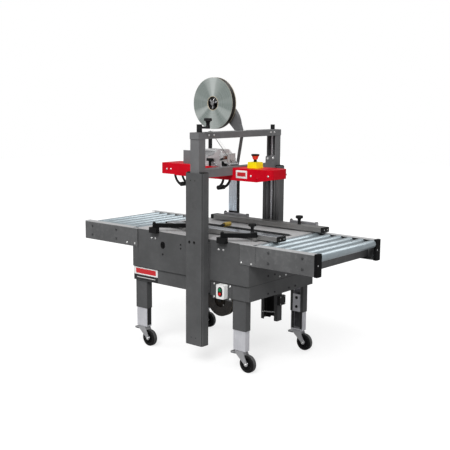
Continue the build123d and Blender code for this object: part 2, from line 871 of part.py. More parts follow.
# Lift frame: inner columns under a hollow crossbar that carries the lead screws
screw_bore = screw_diameter + 2 * shaft_gap
with BuildPart() as lift_frame:
    extrude(folded_sheet(Plane.XY.offset(inner_column_bottom),
                         [(arm_x_start, -inner_tip), (arm_x_start, -inner_web),
                          (arm_x_end, -inner_web), (arm_x_end, -inner_tip)], column_thickness),
            amount=crossbar_bottom - inner_column_bottom)
    mirror(about=Plane.XZ)
    bar_x = (column_x - crossbar_width / 2, column_x + crossbar_width / 2)
    block(bar_x, (-crossbar_half_length, crossbar_half_length), (crossbar_bottom, crossbar_top))
    fillet(lift_frame.edges().filter_by(Axis.Y).group_by(Axis.Z)[-1], crossbar_wall)
    hollow_x = (bar_x[0] + crossbar_wall, bar_x[1] - crossbar_wall)
    extrude(rect(Plane.XY.offset(crossbar_bottom + crossbar_wall), hollow_x,
                 (-crossbar_half_length + crossbar_wall, crossbar_half_length - crossbar_wall)),
            amount=crossbar_height - 2 * crossbar_wall, mode=Mode.SUBTRACT)
    for y in (-screw_y, screw_y):
        disc(Plane.XY.offset(crossbar_bottom), (column_x, y), screw_bore, crossbar_height, Mode.SUBTRACT)
lift_frame.part.label = "lift_frame"
export_step(lift_frame.part, "parts/lift_frame.step")


def star_knob(x, y, bottom, height):
    """Scalloped clamping knob on a stem, standing on a level face."""
    head_z = bottom + height - knob_head_height
    with BuildPart() as knob:
        disc(Plane.XY.offset(bottom), (x, y), knob_stem_diameter, height - knob_head_height)
        disc(Plane.XY.offset(head_z), (x, y), knob_head_diameter, knob_head_height)
        fillet(knob.edges().filter_by(GeomType.CIRCLE).group_by(Axis.Z)[-1], knob_edge_radius)
        with BuildSketch(Plane.XY.offset(head_z)):
            with Locations((x, y)):
                with PolarLocations(knob_head_diameter / 2 + knob_scallop_radius / 2, knob_lobes):
                    Circle(knob_scallop_radius)
        extrude(amount=knob_head_height, mode=Mode.SUBTRACT)
    return knob.part


crank_base = crossbar_top + seat_gap
crank_arm_z = crank_base + crank_arm_rise
crank_knob = star_knob(column_x + crank_arm_length, -screw_y, crank_arm_z + crank_arm_thickness,
                       crank_knob_height)
with BuildPart() as crank_screw:
    disc(Plane.XY.offset(screw_bottom), (column_x, -screw_y), screw_diameter, crank_base - screw_bottom)
    disc(Plane.XY.offset(crank_base), (column_x, -screw_y), crank_hub_diameter, crank_hub_height)
    with BuildSketch(Plane.XY.offset(crank_arm_z)):
        with Locations((column_x + crank_arm_length / 2, -screw_y)):
            SlotCenterToCenter(crank_arm_length, crank_arm_width)
    extrude(amount=crank_arm_thickness)
    add(crank_knob)
crank_screw.part.label = "crank_screw"
export_step(crank_screw.part, "parts/crank_screw.step")

with BuildPart() as rear_screw:
    disc(Plane.XY.offset(screw_bottom), (column_x, screw_y), screw_diameter, crank_base - screw_bottom)
    disc(Plane.XY.offset(crank_base), (column_x, screw_y), screw_cap_diameter, screw_cap_height)
rear_screw.part.label = "rear_screw"
export_step(rear_screw.part, "parts/rear_screw.step")

# Cross arm between the inner columns, with the upright plate beside the rear one, and the pair
# of upright plates on the infeed end of the covers
with BuildPart() as head_cross_arm:
    block((arm_x_start, arm_x_end), (-inner_tip, inner_tip), (cross_arm_bottom, cross_arm_top))
    extrude(rect(Plane.XY.offset(cross_arm_bottom + cross_arm_wall),
                 (arm_x_start + cross_arm_wall, arm_x_end - cross_arm_wall),
                 (-inner_tip + cross_arm_wall, inner_tip - cross_arm_wall)),
            amount=cross_arm_height - 2 * cross_arm_wall, mode=Mode.SUBTRACT)
    with BuildSketch(Plane.YZ.offset(arm_x_end)) as upright:
        draw_rect((upright_inner, upright_outer), (cross_arm_bottom, cross_arm_bottom + upright_height))
        fillet(upright.vertices().group_by(Axis.Y)[-1], upright_corner)
    extrude(upright.sketch, amount=upright_thickness)
    for face_y in (plate_pair_half_gap, -plate_pair_half_gap + bracket_thickness):
        with BuildSketch(facing_front(face_y)) as upright:
            draw_rect((plate_pair_start, plate_pair_end), (head_top, head_top + plate_pair_height))
            with Locations((plate_pair_end - plate_notch, head_top + plate_pair_height)):
                Rectangle(plate_notch / 2, plate_notch, mode=Mode.SUBTRACT)
        extrude(upright.sketch, amount=bracket_thickness)
head_cross_arm.part.label = "head_cross_arm"
export_step(head_cross_arm.part, "parts/head_cross_arm.step")


# Head covers: one moulded shell, open below and over the upper taping unit
def head_plan(z, inset):
    """Plan of the head at z, drawn in by a wall, with round corners that are larger at the nose."""
    with BuildSketch(Plane.XY.offset(z)) as plan:
        draw_rect((head_start + inset, head_end - inset), (-head_half_width + inset, head_half_width - inset))
        fillet(plan.vertices().group_by(Axis.X)[0], cover_start_radius - inset)
        fillet(plan.vertices().group_by(Axis.X)[-1], cover_end_radius - inset)
    return plan.sketch


with BuildPart() as head_covers:
    extrude(head_plan(head_bottom, 0), amount=head_height)
    fillet(head_covers.edges().group_by(Axis.Z)[-1], cover_thickness / 2)
    extrude(head_plan(head_bottom, cover_thickness), amount=head_height - cover_thickness,
            mode=Mode.SUBTRACT)
    extrude(rect(Plane.XY.offset(head_bottom), (head_start, head_start + cover_step_length),
                 (-head_half_width, head_half_width)),
            amount=cover_step_height, mode=Mode.SUBTRACT)
    nose = [(head_end - nose_length, head_bottom), (head_end, head_bottom),
            (head_end, head_bottom + nose_rise)]
    extrude(outline(facing_front(head_half_width), nose), amount=2 * head_half_width,
            mode=Mode.SUBTRACT)
    extrude(rect(Plane.XY.offset(deck_top), (cover_opening_start, arm_x_end),
                 (-frame_half_width, frame_half_width)),
            amount=cover_thickness, mode=Mode.SUBTRACT)
    extrude(rect(facing_front(head_half_width), (arm_x_start, arm_x_end), (cross_arm_bottom, head_top)),
            amount=2 * head_half_width, mode=Mode.SUBTRACT)
head_covers.part.label = "head_covers"
export_step(head_covers.part, "parts/head_covers.step")

# Head frame: a trough inside the covers with a slot for the roller arms, and a deck on top
frame_y = frame_half_width - frame_gap
frame_x = (head_start + frame_end_gap, head_end - nose_length)
frame_bottom = head_bottom + cover_step_height
frame_floor_z = frame_bottom + frame_floor
with BuildPart() as head_frame:
    block(frame_x, (-frame_y, frame_y), (frame_bottom, deck_top - deck_thickness))
    extrude(rect(Plane.XY.offset(frame_floor_z), frame_x, (-frame_y + frame_sheet, frame_y - frame_sheet)),
            amount=head_height, mode=Mode.SUBTRACT)
    extrude(rect(Plane.XY.offset(frame_bottom), (frame_slot_start, arm_x_start - frame_bridge),
                 (-frame_slot_half_width, frame_slot_half_width)),
            amount=head_height, mode=Mode.SUBTRACT)
    extrude(rect(facing_front(head_half_width), (arm_x_start, arm_x_end), (cross_arm_bottom, head_top)),
            amount=2 * head_half_width, mode=Mode.SUBTRACT)
    block((cover_opening_start, arm_x_start), (-frame_y, frame_y), (deck_top - deck_thickness, deck_top))
    extrude(rect(Plane.XY.offset(deck_top - deck_thickness), (unit_tower_start, unit_tower_end),
                 (-frame_slot_half_width, frame_slot_half_width)),
            amount=deck_thickness, mode=Mode.SUBTRACT)
head_frame.part.label = "head_frame"
export_step(head_frame.part, "parts/head_frame.step")

# Upper taping unit: side plates on the frame floor, a tower on the deck, rods and guide rollers
unit_plate_inner = unit_half_width - unit_plate
arm_pin_z = arm_pivot_height
tower_top = deck_top + unit_tower_height
unit_faces = (unit_half_width, -unit_plate_inner)
with BuildPart() as upper_taping_unit:
    for face_y in unit_faces:
        extrude(rect(facing_front(face_y), (unit_start, arm_x_start),
                     (frame_floor_z, deck_top - deck_thickness)), amount=unit_plate)
        with BuildSketch(facing_front(face_y)) as tower:
            with BuildLine():
                Polyline(
                    (unit_tower_end, deck_top),
                    (unit_tower_end, deck_top + unit_tower_height / 2),
                    (unit_tower_end - unit_tower_height / 2, tower_top),
                    (unit_tower_start, tower_top),
                    (unit_tower_start, deck_top),
                    close=True,
                )
            make_face()
            fillet(tower.vertices().group_by(Axis.Y)[-1], unit_tower_corner)
        extrude(tower.sketch, amount=unit_plate)
    with BuildSketch(facing_front(unit_plate_inner)) as rods:
        with Locations((infeed_arm_pivot_x, arm_pin_z), (exit_arm_pivot_x, arm_pin_z)):
            Circle(arm_pin_diameter / 2)
        with Locations((unit_tower_start + unit_rod_margin, deck_top + unit_rod_margin),
                       (unit_tower_end - unit_rod_margin, deck_top + unit_rod_margin)):
            Circle(unit_rod_diameter / 2)
        with Locations((post_x - post_diameter, tower_top - unit_rod_margin),
                       (unit_tower_end - unit_tower_height / 2, tower_top - unit_roller_drop)):
            Circle(unit_roller_diameter / 2)
    extrude(rods.sketch, amount=2 * unit_plate_inner)
    block((post_x - post_diameter / 2, post_x + post_diameter / 2), (-unit_plate_inner, unit_plate_inner),
          (tower_top - post_diameter / 2, tower_top))
    disc(Plane.XY.offset(tower_top), (post_x, 0), post_diameter, post_height)
    add(star_knob(knob_x, -knob_y, deck_top, deck_knob_height))
upper_taping_unit.part.label = "upper_taping_unit"
export_step(upper_taping_unit.part, "parts/upper_taping_unit.step")

def roller_arm(pivot, middle, centre):
    """Two curved plates on a pivot bore, with a tape roller on an axle between their ends."""
    spine = ThreePointArc(pivot, middle, centre)
    with BuildPart() as arm:
        with BuildSketch(facing_front(arm_half_width)) as plate:
            SlotArc(spine, arm_bar)
        extrude(plate.sketch, amount=arm_plate)
        mirror(about=Plane.XZ)
        disc(facing_front(arm_half_width), pivot, arm_pin_diameter + 2 * shaft_gap,
             2 * arm_half_width, Mode.SUBTRACT)
        disc(facing_front(tape_roller_length / 2), centre, tape_roller_diameter, tape_roller_length)
        disc(facing_front(arm_half_width + axle_end), centre, arm_pin_diameter,
             2 * (arm_half_width + axle_end))
    return arm.part


for name, pivot, side in (("infeed_roller_arm", (infeed_arm_pivot_x, arm_pin_z), 1),
                          ("exit_roller_arm", (exit_arm_pivot_x, arm_pin_z), -1)):
    centre = (pivot[0] + side * arm_reach, pivot[1] - arm_rise)
    middle = (pivot[0] + side * arm_elbow_reach, pivot[1] - arm_elbow_drop)
    piece = roller_arm(pivot, middle, centre)
    piece.label = name
    export_step(piece, f"parts/{name}.step")

# Emergency stop on its yellow base
with BuildPart() as stop_base:
    extrude(rect(Plane.XY.offset(head_top), (stop_x - stop_base_length / 2, stop_x + stop_base_length / 2),
                 (-stop_base_width / 2, stop_base_width / 2)),
            amount=stop_base_height, taper=stop_base_taper)
    disc(Plane.XY.offset(head_top + stop_base_height), (stop_x, 0),
         stop_stem_diameter + 2 * button_gap, -stop_bore_depth, Mode.SUBTRACT)
stop_base.part.label = "stop_base"
export_step(stop_base.part, "parts/stop_base.step")

stop_z = head_top + stop_base_height + stop_travel + seat_gap
with BuildPart() as stop_button:
    with BuildSketch(Plane.XZ) as button_profile:
        with BuildLine():
            Polyline(
                (stop_x, stop_z - stop_bore_depth + seat_gap),
                (stop_x + stop_stem_diameter / 2, stop_z - stop_bore_depth + seat_gap),
                (stop_x + stop_stem_diameter / 2, stop_z),
                (stop_x + stop_neck_radius, stop_z),
                (stop_x + stop_head_diameter / 2, stop_z + stop_head_height * 0.7),
                (stop_x + stop_head_diameter / 2, stop_z + stop_head_height - stop_travel),
                (stop_x + stop_crown_radius, stop_z + stop_head_height),
                (stop_x, stop_z + stop_head_height),
                close=True,
            )
        make_face()
    revolve(axis=Axis((stop_x, 0, 0), (0, 0, 1)))
stop_button.part.label = "stop_button"
export_step(stop_button.part, "parts/stop_button.step")

# Drum bracket: a formed arm from the crossbar to the drum, and a stay down to the deck
bracket_rear = bracket_front + bracket_depth
shoulder_start = roll_width / 2 + seat_gap
with BuildPart() as drum_bracket:
    with BuildSketch(facing_front(bracket_rear)) as bracket_side:
        with BuildLine():
            foot_left = (column_x - bracket_foot_width, crossbar_top)
            foot_right = (column_x, crossbar_top)
            shoulder = (column_x - bracket_neck_inset, crossbar_top + bracket_neck_height)
            elbow = ((column_x + roll_x) / 2 + bracket_elbow, roll_z - bracket_elbow)
            hub_top = (roll_x, roll_z + bracket_hub_radius)
            hub_under = (roll_x, roll_z - bracket_hub_radius)
            Line(foot_left, foot_right)
            Line(foot_right, shoulder)
            TangentArc(shoulder, elbow, tangent=(-bracket_neck_inset, bracket_neck_rise))
            Line(elbow, hub_top)
            ThreePointArc(hub_top, (roll_x - bracket_hub_radius, roll_z), hub_under)
            Line(hub_under, foot_left)
        make_face()
    extrude(bracket_side.sketch, amount=bracket_depth)
    with BuildSketch(facing_front(bracket_rear)) as bracket_hollow:
        add(bracket_side.sketch_local)
        offset(amount=-bracket_thickness, kind=Kind.INTERSECTION, mode=Mode.REPLACE)
    extrude(bracket_hollow.sketch, amount=bracket_depth - bracket_thickness, mode=Mode.SUBTRACT)
    spindle_plane = facing_front(bracket_front + bracket_thickness)
    disc(spindle_plane, (roll_x, roll_z), drum_boss_radius * 2,
         bracket_front + bracket_thickness - shoulder_start)
    disc(spindle_plane, (roll_x, roll_z), spindle_diameter,
         bracket_front + bracket_thickness + shoulder_start)
    disc(facing_front(-shoulder_start), (roll_x, roll_z), drum_boss_radius * 2, collar_thickness)
    stay = [
        (column_x - stay_top_inset, crossbar_bottom),
        (column_x - stay_top_inset + stay_width, crossbar_bottom),
        (arm_x_start - stay_end_gap, deck_top),
        (arm_x_start - stay_end_gap - stay_width, deck_top),
    ]
    extrude(outline(facing_front(stay_y + stay_thickness), stay), amount=stay_thickness)
drum_bracket.part.label = "drum_bracket"
export_step(drum_bracket.part, "parts/drum_bracket.step")

with BuildPart() as tape_roll:
    with BuildSketch(facing_front(roll_width / 2)) as roll_face:
        with Locations((roll_x, roll_z)):
            Circle(roll_radius)
            Circle(core_radius, mode=Mode.SUBTRACT)
    extrude(roll_face.sketch, amount=roll_width)
tape_roll.part.label = "tape_roll"
export_step(tape_roll.part, "parts/tape_roll.step")

# Drum in the core of the roll: a rim, spokes and a boss on the spindle
drum_outer = core_radius - seat_gap
with BuildPart() as tape_drum:
    with BuildSketch(facing_front(roll_width / 2)) as drum_face:
        with Locations((roll_x, roll_z)):
            Circle(drum_outer)
            Circle(drum_outer - drum_rim, mode=Mode.SUBTRACT)
            Circle(drum_boss_radius)
    extrude(drum_face.sketch, amount=roll_width)
    with BuildSketch(facing_front(roll_width / 2)) as spokes:
        with Locations((roll_x, roll_z)):
            with PolarLocations((drum_outer - drum_rim / 2) / 2, drum_spokes):
                Rectangle(drum_outer - drum_rim / 2, drum_spoke_width)
    extrude(spokes.sketch, amount=roll_width)
    disc(facing_front(roll_width / 2), (roll_x, roll_z), spindle_diameter + 2 * shaft_gap, roll_width,
         Mode.SUBTRACT)
tape_drum.part.label = "tape_drum"
export_step(tape_drum.part, "parts/tape_drum.step")

# Lower taping unit under the bed, with the hanger of its tape roll
lower_plate_inner = lower_unit_half_width - lower_unit_plate
lower_pivot = (lower_arm_pivot_x, bed_under - lower_arm_pivot_drop)
hanger_front = roll_width / 2 + hanger_gap
with BuildPart() as lower_taping_unit:
    for face_y in (lower_unit_half_width, -lower_plate_inner):
        with BuildSketch(facing_front(face_y)) as side_plate:
            draw_rect((lower_unit_start, lower_unit_end), (lower_unit_bottom, bed_under))
            fillet(side_plate.vertices().group_by(Axis.Y)[0], lower_unit_corner)
        extrude(side_plate.sketch, amount=lower_unit_plate)
    with BuildSketch(facing_front(lower_plate_inner)) as lower_rods:
        with Locations(lower_pivot,
                       (lower_unit_start + lower_rod_margin, lower_unit_bottom + lower_rod_margin),
                       (lower_unit_end - lower_rod_margin, lower_unit_bottom + lower_rod_margin),
                       (lower_unit_end - lower_rod_margin, bed_under - lower_rod_margin)):
            Circle(arm_pin_diameter / 2)
    extrude(lower_rods.sketch, amount=2 * lower_plate_inner)
    block((lower_roll_x - hanger_width / 2, lower_roll_x + hanger_width / 2),
          (hanger_front, hanger_front + hanger_thickness),
          (lower_roll_z - hanger_width / 2, lower_unit_bottom + hanger_width))
    block((lower_roll_x - hanger_width / 2, lower_roll_x + hanger_width / 2),
          (hanger_front + hanger_thickness, lower_plate_inner),
          (lower_unit_bottom + seat_gap, lower_unit_bottom + hanger_width))
    disc(facing_front(hanger_front), (lower_roll_x, lower_roll_z), drum_boss_radius * 2,
         hanger_front - shoulder_start)
    disc(facing_front(hanger_front), (lower_roll_x, lower_roll_z), spindle_diameter,
         hanger_front + shoulder_start)
    disc(facing_front(-shoulder_start), (lower_roll_x, lower_roll_z), drum_boss_radius * 2,
         collar_thickness)
lower_taping_unit.part.label = "lower_taping_unit"
export_step(lower_taping_unit.part, "parts/lower_taping_unit.step")

lower_centre = (lower_arm_roller_x, bed_top + lower_arm_roller_rise)
lower_middle = ((lower_pivot[0] + lower_centre[0]) / 2 - lower_arm_bow,
                (lower_pivot[1] + lower_centre[1]) / 2 + lower_arm_bow)
lower_arm = roller_arm(lower_pivot, lower_middle, lower_centre)
lower_arm.label = "lower_roller_arm"
export_step(lower_arm, "parts/lower_roller_arm.step")

with BuildPart() as lower_tape_roll:
    with BuildSketch(facing_front(roll_width / 2)) as lower_face:
        with Locations((lower_roll_x, lower_roll_z)):
            Circle(lower_roll_radius)
            Circle(core_radius, mode=Mode.SUBTRACT)
            Circle(drum_boss_radius)
    extrude(lower_face.sketch, amount=roll_width)
    disc(facing_front(lower_hub_web / 2), (lower_roll_x, lower_roll_z), 2 * core_radius + seat_gap,
         lower_hub_web)
    disc(facing_front(roll_width / 2), (lower_roll_x, lower_roll_z),
         spindle_diameter + 2 * shaft_gap, roll_width, Mode.SUBTRACT)
lower_tape_roll.part.label = "lower_tape_roll"
export_step(lower_tape_roll.part, "parts/lower_tape_roll.step")


# Side guides: each rail swings on two parallel arms
def guide_hinges(side_name):
    """Hinge points of a rail at rest."""
    return [(hinge_x[side_name] + i * arm_spacing, hinge_y[side_name]) for i in range(2)]


def guide_rail(side_name, side, start_offset, length, knob_offset):
    """Hollow rail with end plugs, hinge plates with pins, and a clamping knob on top."""
    outer = hinge_y[side_name] - side * rail_offset
    rail_y = sorted((outer, outer - side * rail_width))
    start = hinge_x[side_name] - start_offset
    with BuildPart() as rail:
        block((start, start + length), rail_y, (rail_bottom, rail_bottom + rail_height))
        fillet(rail.edges().filter_by(Axis.X), rail_wall)
        extrude(rect(Plane.XY.offset(rail_bottom + rail_wall), (start + rail_cap, start + length - rail_cap),
                     (rail_y[0] + rail_wall, rail_y[1] - rail_wall)),
                amount=rail_height - 2 * rail_wall, mode=Mode.SUBTRACT)
        for x, y in guide_hinges(side_name):
            block((x - hinge_plate_half, x + hinge_plate_half), sorted((outer, y + side * hinge_plate_half)),
                  (rail_bottom, arm_level - seat_gap))
            disc(Plane.XY.offset(arm_level - seat_gap), (x, y), pivot_pin_diameter,
                 arm_thickness + 2 * seat_gap)
            disc(Plane.XY.offset(arm_level + arm_thickness + seat_gap), (x, y), pivot_cap_diameter,
                 pivot_cap_height)
        add(star_knob(start + knob_offset, (rail_y[0] + rail_y[1]) / 2, rail_bottom + rail_height,
                      rail_knob_height))
    return rail.part


def guide_arm(side, pivot, hinge, hinge_bore):
    """Curved arm from the pivot block to the rail's hinge, bored at both ends."""
    run = Vector(hinge[0] - pivot[0], hinge[1] - pivot[1], 0)
    outward = Vector(run.Y, -run.X, 0).normalized() * arm_bow * (1 if side < 0 else -1)
    middle = ((pivot[0] + hinge[0]) / 2 + outward.X, (pivot[1] + hinge[1]) / 2 + outward.Y)
    spine = ThreePointArc(pivot, middle, hinge)
    with BuildPart() as arm:
        with BuildSketch(Plane.XY.offset(arm_level)) as bar:
            SlotArc(spine, arm_width)
        extrude(bar.sketch, amount=arm_thickness)
        disc(Plane.XY.offset(arm_level), pivot, pivot_pin_diameter + 2 * shaft_gap, arm_thickness,
             Mode.SUBTRACT)
        disc(Plane.XY.offset(arm_level), hinge, pivot_pin_diameter + 2 * hinge_bore, arm_thickness,
             Mode.SUBTRACT)
    return arm.part


for side_name, side, start_offset, length, knob_offset in (
    ("front", -1, front_rail_first_hinge, front_rail_length, front_knob_offset),
    ("rear", 1, rear_rail_first_hinge, rear_rail_length, rear_knob_offset),
):
    piece = guide_rail(side_name, side, start_offset, length, knob_offset)
    piece.label = f"{side_name}_guide_rail"
    export_step(piece, f"parts/{side_name}_guide_rail.step")
    for arm_name, i, bore_gap in (("infeed", 0, shaft_gap), ("exit", 1, pin_gap)):
        pivot = (pivot_x + i * arm_spacing, side * pivot_y)
        piece = guide_arm(side, pivot, guide_hinges(side_name)[i], bore_gap)
        piece.label = f"{side_name}_guide_arm_{arm_name}"
        export_step(piece, f"parts/{side_name}_guide_arm_{arm_name}.step")

block_top = arm_level - seat_gap
with BuildPart() as guide_pivot_blocks:
    for i in range(2):
        x = pivot_x + i * arm_spacing
        block((x - pivot_block_length / 2, x + pivot_block_length / 2),
              (-panel_half_width - pivot_block_depth, -panel_half_width),
              (block_top - pivot_block_height, block_top))
        disc(Plane.XY.offset(block_top), (x, -pivot_y), pivot_pin_diameter,
             arm_thickness + 2 * seat_gap)
        disc(Plane.XY.offset(arm_level + arm_thickness + seat_gap), (x, -pivot_y), pivot_cap_diameter,
             pivot_cap_height)
    mirror(about=Plane.XZ)
guide_pivot_blocks.part.label = "guide_pivot_blocks"
export_step(guide_pivot_blocks.part, "parts/guide_pivot_blocks.step")

# Switch box on its plate over the skirt
plate_face = -skirt_half_width - switch_plate_thickness
box_face = plate_face - switch_box_depth
pill_face = box_face - switch_pill_rise
switch_z = switch_plate_bottom + switch_plate_height / 2 + switch_box_rise
button_z = (switch_z + button_pitch / 2, switch_z - button_pitch / 2)
well_depth = button_length - button_rise + switch_travel + seat_gap
with BuildPart() as switch_box:
    plate_x = (switch_x - switch_box_width / 2 - switch_plate_offset,
               switch_x - switch_box_width / 2 - switch_plate_offset + switch_plate_length)
    extrude(rect(facing_front(-skirt_half_width), plate_x,
                 (switch_plate_bottom, switch_plate_bottom + switch_plate_height)),
            amount=switch_plate_thickness)
    with BuildSketch(facing_front(plate_face)) as box_outline:
        with Locations((switch_x, switch_z)):
            RectangleRounded(switch_box_width, switch_box_height, switch_box_radius)
    extrude(box_outline.sketch, amount=switch_box_depth)
    with BuildSketch(facing_front(box_face)) as pill:
        with Locations((switch_x, switch_z)):
            SlotOverall(switch_pill_height, switch_pill_width, rotation=90)
    extrude(pill.sketch, amount=switch_pill_rise)
    for z in button_z:
        disc(facing_front(pill_face + well_depth), (switch_x, z), button_diameter + 2 * button_gap,
             well_depth, Mode.SUBTRACT)
switch_box.part.label = "switch_box"
export_step(switch_box.part, "parts/switch_box.step")

for name, z in zip(("start_button", "halt_button"), button_z):
    with BuildPart() as button:
        disc(facing_front(pill_face + button_length - button_rise), (switch_x, z), button_diameter,
             button_length)
        fillet(button.edges().filter_by(GeomType.CIRCLE).group_by(Axis.Y)[0], button_edge_radius)
    button.part.label = name
    export_step(button.part, f"parts/{name}.step")
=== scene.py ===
"""Looks of a case sealer: finishes, fitted small parts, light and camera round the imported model."""

import json  # noqa: E402
import logging  # noqa: E402
import math  # noqa: E402
from dataclasses import dataclass  # noqa: E402
from enum import Enum  # noqa: E402
from typing import Iterable, Sequence  # noqa: E402

import bmesh  # noqa: E402
import bpy  # noqa: E402
from mathutils import Matrix, Vector  # noqa: E402

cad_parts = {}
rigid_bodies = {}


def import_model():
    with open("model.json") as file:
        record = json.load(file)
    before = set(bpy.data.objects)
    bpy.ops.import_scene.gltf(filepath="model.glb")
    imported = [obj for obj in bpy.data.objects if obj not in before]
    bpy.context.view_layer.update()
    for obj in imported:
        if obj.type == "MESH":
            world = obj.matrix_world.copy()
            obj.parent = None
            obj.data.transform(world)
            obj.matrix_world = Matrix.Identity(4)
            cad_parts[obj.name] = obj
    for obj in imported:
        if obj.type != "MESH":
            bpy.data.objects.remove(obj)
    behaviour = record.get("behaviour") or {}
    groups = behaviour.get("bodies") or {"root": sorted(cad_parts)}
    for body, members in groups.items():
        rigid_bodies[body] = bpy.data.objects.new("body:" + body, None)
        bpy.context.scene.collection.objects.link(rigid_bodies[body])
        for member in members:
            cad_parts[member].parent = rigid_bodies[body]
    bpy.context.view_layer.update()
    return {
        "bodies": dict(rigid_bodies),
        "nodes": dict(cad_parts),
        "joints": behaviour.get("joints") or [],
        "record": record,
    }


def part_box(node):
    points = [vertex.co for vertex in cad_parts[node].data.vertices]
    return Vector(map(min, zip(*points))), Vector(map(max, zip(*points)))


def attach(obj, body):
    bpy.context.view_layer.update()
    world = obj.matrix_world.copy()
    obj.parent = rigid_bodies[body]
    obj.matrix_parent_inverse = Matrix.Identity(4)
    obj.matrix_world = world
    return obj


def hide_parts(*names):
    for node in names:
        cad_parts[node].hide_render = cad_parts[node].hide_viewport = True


LOG = logging.getLogger("case_sealer")

Colour = tuple[float, float, float]
Point = tuple[float, float, float]
Profile = Sequence[tuple[float, float]]
Given = object

SHARP_ANGLE = math.radians(32.0)
TURN = 2.0 * math.pi
POINT_RADIUS = 1e-7
ROD_CHAMFER = 0.0008
SLOT_FLAT = 1e-5
REGION_EDGE = 0.0002
DOT_EDGE = 0.0003

UP: Point = (0.0, 0.0, 1.0)
TO_EXIT: Point = (1.0, 0.0, 0.0)
TO_INFEED: Point = (-1.0, 0.0, 0.0)
TO_REAR: Point = (0.0, 1.0, 0.0)
TO_FRONT: Point = (0.0, -1.0, 0.0)
SIDES = (-1.0, 1.0)

WHITE: Colour = (1.0, 1.0, 1.0)
CHARCOAL: Colour = (0.083, 0.084, 0.086)
SCREW_STEEL: Colour = (0.75, 0.75, 0.76)


def grey(tone: float) -> Colour:
    """Returns a neutral grey."""
    return (tone, tone, tone)


def toned(colour: Colour, share: float, lift: float = 0.0) -> Colour:
    """Returns a colour made darker or paler, and no brighter than white.

    Args:
        colour: The colour.
        share: What each of its parts is scaled by.
        lift: The grey that is added.

    Returns:
        The new colour.
    """
    return tuple(min(1.0, c * share + lift) for c in colour)


class Grain(Enum):
    """The direction in which a metal face was rolled, brushed or worn."""

    ALONG_X = (3.0, 160.0, 160.0)
    ALONG_Y = (160.0, 3.0, 160.0)
    ALONG_Z = (160.0, 160.0, 3.0)
    NONE = (22.0, 22.0, 22.0)


class NodeSheet:
    """A node tree that is written as Python: one method makes, sets and feeds any node."""

    def __init__(self, tree: bpy.types.NodeTree) -> None:
        """Keeps the tree that the nodes go into.

        Args:
            tree: A shader or geometry node tree.
        """
        self.tree = tree

    def node(
        self,
        kind: str,
        settings: dict[str, Given] | None = None,
        inputs: dict[str | int, Given] | None = None,
    ) -> bpy.types.Node:
        """Makes one node, with its settings made before its sockets are fed.

        Args:
            kind: The node's type.
            settings: Its own settings.
            inputs: Values or links of its sockets, by name or number.

        Returns:
            The node.
        """
        made = self.tree.nodes.new(kind)
        for key, setting in (settings or {}).items():
            setattr(made, key, setting)
        for key, given in (inputs or {}).items():
            self.feed(made.inputs[key], given)
        return made

    def feed(self, socket: bpy.types.NodeSocket, given: Given) -> None:
        """Links a socket to a value, a node's first output or another socket, or sets its number.

        Args:
            socket: The socket that is fed.
            given: A Value, a socket, a node, a number or a tuple.
        """
        if isinstance(given, Value):
            self.tree.links.new(given.socket, socket)
        elif isinstance(given, bpy.types.NodeSocket):
            self.tree.links.new(given, socket)
        elif isinstance(given, bpy.types.Node):
            self.tree.links.new(given.outputs[0], socket)
        elif socket.type == "RGBA" and isinstance(given, tuple) and len(given) == 3:
            socket.default_value = (*given, 1.0)
        else:
            socket.default_value = given


class Value:
    """A number that varies over a surface, with the arithmetic that the finishes use."""

    def __init__(self, sheet: NodeSheet, socket: bpy.types.NodeSocket) -> None:
        """Wraps one output socket.

        Args:
            sheet: The node tree that the socket is in.
            socket: The output that carries the number.
        """
        self.sheet = sheet
        self.socket = socket

    def _joined(self, operation: str, first: Given, second: Given) -> "Value":
        """Returns the value of one Math node on two numbers or values."""
        made = self.sheet.node("ShaderNodeMath", {"operation": operation}, {0: first, 1: second})
        return Value(self.sheet, made.outputs[0])

    def __add__(self, other: Given) -> "Value":
        """Returns self + other."""
        return self._joined("ADD", self, other)

    def __radd__(self, other: Given) -> "Value":
        """Returns other + self."""
        return self._joined("ADD", other, self)

    def __sub__(self, other: Given) -> "Value":
        """Returns self - other."""
        return self._joined("SUBTRACT", self, other)

    def __rsub__(self, other: Given) -> "Value":
        """Returns other - self."""
        return self._joined("SUBTRACT", other, self)

    def __mul__(self, other: Given) -> "Value":
        """Returns self * other."""
        return self._joined("MULTIPLY", self, other)

    def __truediv__(self, other: Given) -> "Value":
        """Returns self / other."""
        return self._joined("DIVIDE", self, other)

    def __pow__(self, other: Given) -> "Value":
        """Returns self raised to other."""
        return self._joined("POWER", self, other)

    def __abs__(self) -> "Value":
        """Returns the size of the number."""
        return self._joined("ABSOLUTE", self, 0.0)

    def wave(self) -> "Value":
        """Returns the sine of the value."""
        return self._joined("SINE", self, 0.0)

    def angle_from(self, other: "Value") -> "Value":
        """Returns the angle of the point (other, self) round the origin."""
        return self._joined("ARCTAN2", self, other)

    def ramp(self, low: float, high: float) -> "Value":
        """Returns 0 below low, 1 above high and a smooth step between.

        Args:
            low: Where the step starts.
            high: Where it ends; it may be below low, which turns the step round.

        Returns:
            The stepped value.
        """
        start, end = (low, high) if low < high else (high, low)
        made = self.sheet.node(
            "ShaderNodeMapRange",
            {"interpolation_type": "SMOOTHSTEP"},
            {"Value": self, "From Min": start, "From Max": end},
        )
        stepped = Value(self.sheet, made.outputs[0])
        return stepped if low < high else 1.0 - stepped


